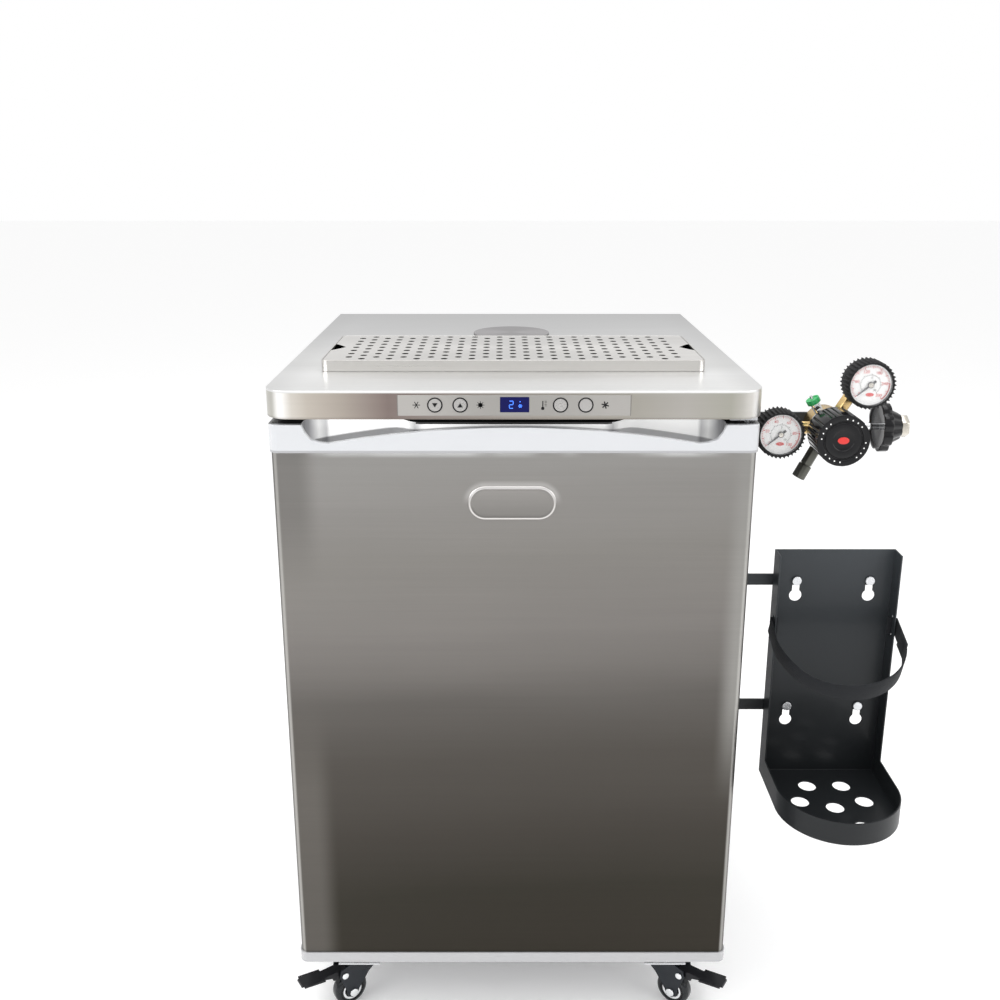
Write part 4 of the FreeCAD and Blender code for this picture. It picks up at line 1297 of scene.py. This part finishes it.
# --------------------------------------------------------------------------- accessories
@dataclass
class BottleHolder:
    """Black sheet holder on two arms, with a webbing strap."""

    middle: float = 438.0
    half: float = 85.5
    slot_y: float = 108.0
    slot_z: float = 590.0
    bend_y: float = 76.0
    width: float = 25.0
    droop: float = 22.0
    sag: float = 0.15

    def lean(self) -> Matrix:
        """The matrix that lowers the loop's front, in metres."""
        return turn_about(DATUM.at(self.middle, self.slot_y, self.slot_z), self.droop, "X")

    def strap(self) -> bpy.types.Object:
        """A hanging loop of webbing from flange to flange.

        Returns:
            The strap.
        """
        bpy.ops.object.select_all(action="DESELECT")
        bpy.ops.mesh.primitive_cylinder_add(vertices=128, radius=self.half * MM, depth=self.width * MM,
                                            end_fill_type="NOTHING",
                                            location=DATUM.at(self.middle, self.bend_y, self.slot_z))
        piece = bpy.context.object
        piece.name = "strap_loop"
        Bench.settle(piece)
        line = DATUM.at(0, self.bend_y, 0).y
        with Bench.edit(piece, Pick.VERTS, lambda v: v.co.y > line + 1e-5):
            bpy.ops.mesh.delete(type="VERT")
        with Bench.edit(piece, Pick.EDGES, lambda e: all(abs(v.co.y - line) < 1e-4 for v in e.verts)):
            for _ in range(7):
                bpy.ops.mesh.extrude_region_move(TRANSFORM_OT_translate={"value": (0, 4.7 * MM, 0)})
        middle, height = DATUM.at(self.middle, 0, 0), self.width / 2 * MM
        for vert in piece.data.vertices:
            ahead = max(0.0, line - vert.co.y)
            level = (vert.co.z - self.slot_z * MM) / height
            ripple = 0.0012 * math.sin(ahead * 75.0 + (vert.co.x - middle.x) * 12.0)
            vert.co.z += ripple - self.sag * ahead * ahead
            vert.co.y += level * 0.0016 * math.sin((vert.co.x - middle.x) * 32.0 + 0.6)
        piece.data.transform(self.lean())
        thick = piece.modifiers.new("thick", "SOLIDIFY")
        thick.thickness = 1.8 * MM
        thick.offset = 0.0
        Bench.focus(piece)
        bpy.ops.object.modifier_apply(modifier="thick")
        return Bench.bevel(piece, 0.5, 2, 50.0)

    def tabs(self) -> bpy.types.Object:
        """The strap's folded ends through the flanges, with a sewn keeper on its right run."""
        made = []
        for sign in (-1, 1):
            x0, x1 = sorted((self.middle + sign * 75.2, self.middle + sign * 86.2))
            tab = Bench.block("tab", (x0, 106.2, 577.8), (x1, 108.8, 602.2))
            made.append(Bench.bevel(tab, 0.8, 3))
        keeper = Bench.block("keeper", (self.middle + 83.4, 60.0, 576.8), (self.middle + 86.5, 84.0, 603.2))
        Bench.steps(keeper, Bench.facing(Way.RIGHT, 1), ((1.5, 0.0), (0.4, -0.4)))
        Bench.bevel(keeper, 0.7, 2)
        keeper.data.transform(self.lean())
        made.append(keeper)
        return Bench.join("strap_tabs", made)

    def build(self) -> None:
        """Builds the holder."""
        carry("bottle_holder", POWDER, 0.6, 2)
        carry("accessory_arms", POWDER, 0.8, 2)
        carry("holder_screws", ZINC, 0.8, 3)
        show(self.strap(), STRAP, "cabinet", "webbing", ["holder_strap"])
        show(self.tabs(), STRAP, "cabinet", "webbing")


@dataclass
class Gauge:
    """A round pressure gauge in a ribbed rubber boot."""

    name: str
    x: float
    z: float
    top_value: int
    face: float = 70.0
    radius: float = 30.9
    sweep: float = 270.0
    start: float = 220.0

    def direction(self, share: float) -> Vector:
        """The way to a mark, as its share of the sweep, seen from the front."""
        angle = math.radians(self.start - self.sweep * share)
        return Vector((math.cos(angle), 0.0, math.sin(angle)))

    def boot(self) -> bpy.types.Object:
        """The boot: thin teeth round the rim and a deep round mouth."""
        teeth, share = 36, 6
        piece = Bench.round(f"boot_{self.name}", (self.x, self.face + 15.0, self.z), self.radius, 30.0,
                            Way.BACK, teeth * share)
        middle = DATUM.at(self.x, 0, self.z)
        Bench.steps(piece, Bench.facing(Way.BACK, -1), ((2.7, 0.0), (1.6, 0.0), (0.4, -5.4)))
        Bench.steps(piece, Bench.facing(Way.BACK, 1), ((3.0, 0.0), (0.5, -0.6)))
        for vert in piece.data.vertices:
            out = Vector((vert.co.x - middle.x, vert.co.z - middle.z))
            turn = round(math.atan2(out.y, out.x) / math.tau * teeth * share) % share
            if out.length > (self.radius - 1.0) * MM and turn > 1:
                vert.co.x = middle.x + out.x * (self.radius - 2.1) / self.radius
                vert.co.z = middle.z + out.y * (self.radius - 2.1) / self.radius
        return Bench.bevel(piece, 0.15, 1, 50.0)

    def dial(self) -> bpy.types.Object:
        """The white plate."""
        piece = Bench.round(f"dial_{self.name}", (self.x, self.face + 5.6, self.z), 26.0, 1.2, Way.BACK, 64)
        Bench.steps(piece, Bench.facing(Way.BACK, -1), ((0.8, 0.0), (0.3, -0.2)))
        return piece

    def mark(self, share: float, inner: float, outer: float, width: float) -> bpy.types.Object:
        """One line of the scale."""
        way = self.direction(share)
        middle = (inner + outer) / 2
        piece = Bench.block("mark", (self.x - width / 2, self.face + 4.75, self.z - (outer - inner) / 2),
                            (self.x + width / 2, self.face + 4.9, self.z + (outer - inner) / 2))
        spot = DATUM.at(self.x, self.face + 4.8, self.z)
        turn = Matrix.Rotation(math.pi / 2 - math.atan2(way.z, way.x), 4, "Y")
        piece.data.transform(Matrix.Translation(spot + way * middle * MM) @ turn @ Matrix.Translation(-spot))
        return piece

    def figures(self, top: int, reach: float, height: float, step: int) -> list[bpy.types.Object]:
        """Figures round the dial.

        Args:
            top: the value at the scale's end.
            reach: their distance from the middle in millimetres.
            height: their height in millimetres.
            step: how many tenths of the scale lie between two figures.

        Returns:
            The printed meshes.
        """
        made = []
        for tenth in range(0, 11, step):
            way = self.direction(tenth / 10) * reach
            spot = (self.x + way.x, self.face + 4.8, self.z + way.z)
            made.append(Bench.words("figure", str(top * tenth // 10), height, spot))
        return made

    def outer(self) -> bpy.types.Object:
        """Red outer scale with its figures, the limit band and a plain oval mark."""
        made = [self.mark(i / 50, 22.2 if i % 5 else 20.9, 24.4, 0.45 if i % 5 else 0.8) for i in range(51)]
        made += [self.mark(0.8 + i * 0.0068, 23.2, 24.6, 0.6) for i in range(30)]
        made += self.figures(self.top_value, 17.6, 3.9, 2)
        level = self.z - 12.6
        oval = Bench.round("oval", (self.x, self.face + 4.85, level), 5.2, 0.12, Way.BACK, 40)
        made.append(Bench.squeeze(oval, level, 0.45))
        return Bench.join(f"outer_scale_{self.name}", made)

    def inner(self) -> bpy.types.Object:
        """Black inner scale."""
        made = [self.mark(i / 30, 11.8, 13.4 if i % 5 else 14.6, 0.5) for i in range(31)]
        made += self.figures(self.top_value // 10, 9.0, 2.8, 5)
        return Bench.join(f"inner_scale_{self.name}", made)

    def hub(self) -> bpy.types.Object:
        """Small plated cap over the needle's pin."""
        middle = (self.x, self.face + 2.15, self.z)
        piece = Bench.round(f"needle_cap_{self.name}", middle, 3.1, 0.9, Way.BACK, 32)
        return Bench.bevel(piece, 0.3, 2)

    def build(self) -> bpy.types.Object:
        """Builds the gauge on the cabinet.

        Returns:
            The boot, for the caller to name what it stands for.
        """
        show(self.dial(), DIAL_WHITE, "cabinet", "gauge_rubber")
        show(self.outer(), DIAL_RED, "cabinet", "gauge_rubber")
        show(self.inner(), DIAL_BLACK, "cabinet", "gauge_rubber")
        carry(f"needle_{self.name}", DIAL_BLACK)
        show(self.hub(), NICKEL, f"needle_{self.name}", "needle")
        return self.boot()


# --------------------------------------------------------------------------- regulator
@dataclass
class Regulator:
    """Gas regulator: brass body, black knob, two gauges, stem and handwheel."""

    x: float = 409.0
    y: float = 118.0
    z: float = 868.0
    stem: float = 475.0
    low: Gauge = field(default_factory=lambda: Gauge("low", 339.0, 868.0, 100))
    high: Gauge = field(default_factory=lambda: Gauge("high", 447.0, 932.0, 300))

    @staticmethod
    def vent() -> Vector:
        """The relief valve's direction."""
        return Vector((-0.52, 0.0, 0.854)).normalized()

    def along(self, way: Vector, reach: float, y: float = -8.0) -> Triple:
        """A point that far from the body's middle."""
        return (self.x + way.x * reach, self.y + y, self.z + way.z * reach)

    def body(self) -> bpy.types.Object:
        """The forged brass body with hexagonal arms to the gauges."""
        core = Bench.round("core", (self.x, self.y + 1.0, self.z), 25.0, 38.0, Way.BACK, 56)
        Bench.steps(core, Bench.facing(Way.BACK, 1), ((4.0, 0.0), (1.0, 1.0), (6.0, 0.0)))
        rear = DATUM.at(0, self.y + 20.5, 0).y
        with Bench.edit(core, Pick.FACES, lambda f: f.normal.y > 0.99 and f.calc_center_median().y > rear):
            bpy.ops.transform.translate(value=(0, -1.0 * MM, 0))
        made = [Bench.bevel(core, 1.2, 3)]
        left = Bench.round("arm_low", (376.0, self.y - 8.0, self.z), 8.6, 26.0, Way.RIGHT, 6)
        made.append(Bench.bevel(left, 0.7, 2))
        rise = Vector((self.high.x - self.x, 0.0, self.high.z - self.z)).normalized()
        right = Bench.round("arm_high", self.along(rise, 34.0), 8.6, 28.0, rise, 6)
        made.append(Bench.bevel(right, 0.7, 2))
        for way, reach in ((Vector((-1, 0, 0)), 46.5), (rise, 47.5)):
            collar = Bench.round("collar", self.along(way, reach), 6.4, 5.0, way, 32)
            made.append(Bench.bevel(collar, 0.5, 2))
            block = Bench.round("elbow", self.along(way, 53.0, -14.0), 7.6, 27.0, Way.BACK, 6)
            made.append(Bench.bevel(block, 0.8, 2))
        return Bench.join("regulator_brass", made)

    def bright(self) -> bpy.types.Object:
        """Chromed bonnet, stem and relief-valve body."""
        bonnet = Bench.round("bonnet", (self.x, 96.0, self.z), 28.4, 12.0, Way.BACK, 64)
        Bench.steps(bonnet, Bench.facing(Way.BACK, -1), ((3.0, 0.0), (0.8, 0.4)))
        stem = Bench.round("stem", (self.x + 55.0, self.y, self.z), 4.45, 74.0, Way.RIGHT, 32)
        shaft = Bench.round("shaft", (self.x, 74.0, self.z), 4.9, 44.0, Way.BACK, 32)
        vent = self.vent()
        valve = Bench.round("valve", self.along(vent, 29.0), 6.0, 18.0, vent, 6)
        needle = Bench.round("needle", self.along(vent, 40.0), 1.9, 19.0, vent, 20)
        turned = [Bench.bevel(piece, 0.6, 2) for piece in (bonnet, stem, shaft, valve, needle)]
        return Bench.join("regulator_bright", turned)

    def ring(self) -> bpy.types.Object:
        """The relief valve's green pull ring."""
        piece = Bench.round("relief_ring", self.along(self.vent(), 42.0), 8.9, 6.8, self.vent(), 40)
        with Bench.edit(piece, Pick.FACES, lambda f: f.calc_area() > 1e-4):
            bpy.ops.mesh.inset(thickness=1.6 * MM, depth=0.0)
            bpy.ops.mesh.inset(thickness=1.0 * MM, depth=-1.6 * MM)
        return Bench.bevel(piece, 0.5, 2)

    def knob(self) -> bpy.types.Object:
        """The fluted pressure knob with a stepped face."""
        sides = 90
        piece = Bench.round("knob", (self.x, 65.0, self.z), 32.9, 45.8, Way.BACK, sides)
        middle = DATUM.at(self.x, 0, self.z)

        def flute(face: bmesh.types.BMFace) -> bool:
            """One side face in three."""
            spot = face.calc_center_median()
            turn = math.atan2(spot.z - middle.z, spot.x - middle.x) / math.tau * sides
            return abs(face.normal.y) < 0.1 and int(math.floor(turn)) % 3 == 0

        Bench.steps(piece, Bench.facing(Way.BACK, -1),
                    ((1.6, 0.0), (6.0, 0.0), (0.8, -1.6), (1.2, 0.0), (0.8, 1.4), (9.0, 0.0), (0.5, -0.8)))
        with Bench.edit(piece, Pick.FACES, flute):
            bpy.ops.mesh.inset(thickness=0.3 * MM, depth=-1.5 * MM, use_individual=True)
        return Bench.bevel(piece, 0.45, 2, 40.0)

    def cap(self) -> bpy.types.Object:
        """A plain red oval in the knob's middle."""
        piece = Bench.round("knob_mark", (self.x, 42.9, self.z), 7.2, 0.8, Way.BACK, 40)
        return Bench.bevel(Bench.squeeze(piece, self.z, 0.62), 0.2, 2)

    def ticks(self) -> bpy.types.Object:
        """Pale marks round the knob's face."""
        made = []
        for i in range(24):
            if i % 6 in (0, 1):
                continue
            angle = math.radians(15 * i + 10)
            spot = (self.x + 27.6 * math.cos(angle), 42.1, self.z + 27.6 * math.sin(angle))
            made.append(Bench.round("tick", spot, 0.9, 0.16, Way.BACK, 12))
        return Bench.join("knob_ticks", made)

    def outlet(self) -> bpy.types.Object:
        """The dark outlet fitting: a hexagonal shank and a stout sleeve with an open end."""
        drop = Vector((-0.45, 0.0, -0.893)).normalized()
        shank = Bench.bevel(Bench.round("shank", self.along(drop, 40.0), 8.0, 30.0, drop, 6), 0.5, 2)
        neck = Bench.round("neck", self.along(drop, 56.0), 5.9, 4.0, drop, 32)
        sleeve = Bench.round("sleeve", self.along(drop, 65.6), 8.7, 18.8, drop, 12)
        Bench.steps(sleeve, Bench.facing(drop, 1), ((1.4, 0.0), (1.6, -0.6), (2.6, 0.0), (0.2, -14.0)))
        return Bench.join("outlet_tail", [shank, neck, Bench.bevel(sleeve, 0.5, 2, 25.0)])

    def wheel(self) -> bpy.types.Object:
        """The handwheel: a thin lobed disc with a faceted cone behind it."""
        sides = 96
        piece = Bench.round("handwheel_grip", (self.stem + 6.0, self.y, self.z), 33.3, 11.9, Way.RIGHT, sides)
        Bench.steps(piece, Bench.facing(Way.RIGHT, -1), ((5.5, 0.0), (1.2, -1.6), (14.0, 0.0)))
        Bench.steps(piece, Bench.facing(Way.RIGHT, 1),
                    ((5.0, 0.0), (2.6, -0.8), (8.9, 17.8), (6.3, 0.0), (0.2, -3.0)))
        middle = DATUM.at(self.stem, self.y, self.z)
        for vert in piece.data.vertices:
            out = Vector((vert.co.y - middle.y, vert.co.z - middle.z))
            wave = 0.5 + 0.5 * math.cos(8 * math.atan2(out.y, out.x))
            size = 1.0
            if out.length > 30.0 * MM:
                size = 1.0 - 0.10 * wave ** 3
            elif vert.co.x > DATUM.at(self.stem + 10.0, 0, 0).x and out.length > 16.0 * MM:
                size = 1.0 - 0.09 * wave ** 2
            vert.co.y = middle.y + out.x * size
            vert.co.z = middle.z + out.y * size
        return Bench.bevel(piece, 1.1, 3, 30.0)

    def nut(self) -> bpy.types.Object:
        """The hexagonal union nut with its open mouth."""
        piece = Bench.round("union_nut", (self.stem + 33.9, self.y, self.z), 14.8, 9.9, Way.RIGHT, 6)
        Bench.bevel(piece, 0.9, 2)
        Bench.steps(piece, lambda f: abs(f.normal.x) > 0.99 and f.calc_area() > 1e-4, ((2.2, 0.0),))
        Bench.steps(piece, lambda f: f.normal.x > 0.99 and f.calc_area() > 1.4e-4, ((0.4, -9.7),))
        return piece

    def build(self) -> None:
        """Builds the regulator."""
        show(self.body(), BRASS, "cabinet", "brass", ["regulator_body"])
        show(self.bright(), CHROME, "cabinet", "brass")
        show(self.low.build(), RUBBER, "cabinet", "gauge_rubber", ["gauge_cases"])
        show(self.high.build(), RUBBER, "cabinet", "gauge_rubber")
        carry("gauge_lenses", LENS)
        show(self.knob(), GLOSS_BLACK, "pressure_knob", "black_plastic", ["regulator_knob"])
        show(self.cap(), DIAL_RED, "pressure_knob", "black_plastic")
        show(self.ticks(), DIAL_WHITE, "pressure_knob", "black_plastic")
        show(self.ring(), GREEN, "relief_valve", "dark_metal", ["relief_valve"])
        show(self.outlet(), DARK_METAL, "cabinet", "dark_metal", ["outlet_fitting"])
        show(self.wheel(), GLOSS_BLACK, "handwheel", "black_plastic", ["handwheel"])
        show(self.nut(), NICKEL, "handwheel", "black_plastic")


# --------------------------------------------------------------------------- studio
@dataclass
class Studio:
    """Floor, lights and camera."""

    eye: Triple = (-13.2, -1240.0, 1206.0)
    pitch: float = 74.02
    lens: float = 38.52
    shift: tuple[float, float] = (-0.003, -0.0364)
    room: tuple[tuple[float, float], ...] = (
        (0.0, 0.33), (0.47, 0.42), (0.55, 0.69), (0.75, 0.87), (1.0, 0.92))
    lamps: tuple[tuple[str, Triple, Triple, float, float], ...] = (
        ("overhead", (0.0, 100.0, 2600.0), (0.0, 300.0, 900.0), 2.2, 34.0),
        ("left", (-1900.0, -1100.0, 1700.0), (0.0, 200.0, 700.0), 1.6, 26.0),
        ("right", (2100.0, -900.0, 1500.0), (200.0, 200.0, 700.0), 1.6, 18.0),
    )

    def floor(self) -> None:
        """A wide pale floor."""
        bpy.ops.object.select_all(action="DESELECT")
        bpy.ops.mesh.primitive_plane_add(size=40.0, location=(0, 0, -0.0005))
        plane = bpy.context.object
        plane.name = "studio_floor"
        Bench.settle(plane)
        plane.data.materials.append(FLOOR_PAPER.material())

    def lamp(self, name: str, spot: Triple, target: Triple, size: float, power: float) -> None:
        """A soft square lamp aimed at a point."""
        data = bpy.data.lights.new(name, "AREA")
        data.shape = "SQUARE"
        data.size = size
        data.energy = power
        lamp = bpy.data.objects.new(name, data)
        bpy.context.scene.collection.objects.link(lamp)
        lamp.location = DATUM.at(*spot)
        lamp.rotation_euler = (DATUM.at(*target) - lamp.location).to_track_quat("-Z", "Y").to_euler()

    def sky(self) -> None:
        """Surroundings that look white, and that reflect paler from the ceiling than from the floor."""
        world = bpy.data.worlds.new("studio")
        world.use_nodes = True
        tree = world.node_tree
        plain = tree.nodes["Background"]
        plain.inputs[0].default_value = (1.0, 1.0, 1.0, 1.0)
        room = tree.nodes.new("ShaderNodeBackground")
        place = tree.nodes.new("ShaderNodeTexCoord")
        split = tree.nodes.new("ShaderNodeSeparateXYZ")
        span = tree.nodes.new("ShaderNodeMapRange")
        span.inputs["From Min"].default_value = -1.0
        ramp = tree.nodes.new("ShaderNodeValToRGB")
        band = ramp.color_ramp
        while len(band.elements) < len(self.room):
            band.elements.new(0.5)
        for element, (spot, tone) in zip(band.elements, self.room):
            element.position = spot
            element.color = (tone, tone, tone, 1.0)
        path = tree.nodes.new("ShaderNodeLightPath")
        mix = tree.nodes.new("ShaderNodeMixShader")
        for first, second in ((place.outputs["Generated"], split.inputs[0]),
                              (split.outputs["Z"], span.inputs["Value"]),
                              (span.outputs[0], ramp.inputs[0]),
                              (ramp.outputs[0], room.inputs[0]),
                              (path.outputs["Is Camera Ray"], mix.inputs[0]),
                              (room.outputs[0], mix.inputs[1]),
                              (plain.outputs[0], mix.inputs[2]),
                              (mix.outputs[0], tree.nodes["World Output"].inputs[0])):
            tree.links.new(first, second)
        bpy.context.scene.world = world
        bpy.context.scene.view_settings.view_transform = "Standard"

    def camera(self) -> None:
        """The camera at the product view."""
        data = bpy.data.cameras.new("view")
        data.lens = self.lens
        data.sensor_width = 36.0
        data.shift_x, data.shift_y = self.shift
        data.clip_end = 60.0
        eye = bpy.data.objects.new("view", data)
        bpy.context.scene.collection.objects.link(eye)
        eye.location = DATUM.at(*self.eye)
        eye.rotation_euler = (math.radians(self.pitch), 0.0, 0.0)
        bpy.context.scene.camera = eye

    def build(self) -> None:
        """Sets up the studio."""
        self.floor()
        self.sky()
        for name, spot, target, size, power in self.lamps:
            self.lamp(name, spot, target, size, power)
        self.camera()


def main() -> None:
    """Builds the kegerator in order."""
    logging.basicConfig(level=logging.INFO, format="%(name)s: %(message)s")
    Studio().build()
    for assembly in (Cabinet(), Worktop(), Door(), ControlPanel(), Undercarriage(), BottleHolder(),
                     Regulator()):
        LOG.info("assembly %s", type(assembly).__name__)
        assembly.build()


if __name__ == "__main__":
    main()
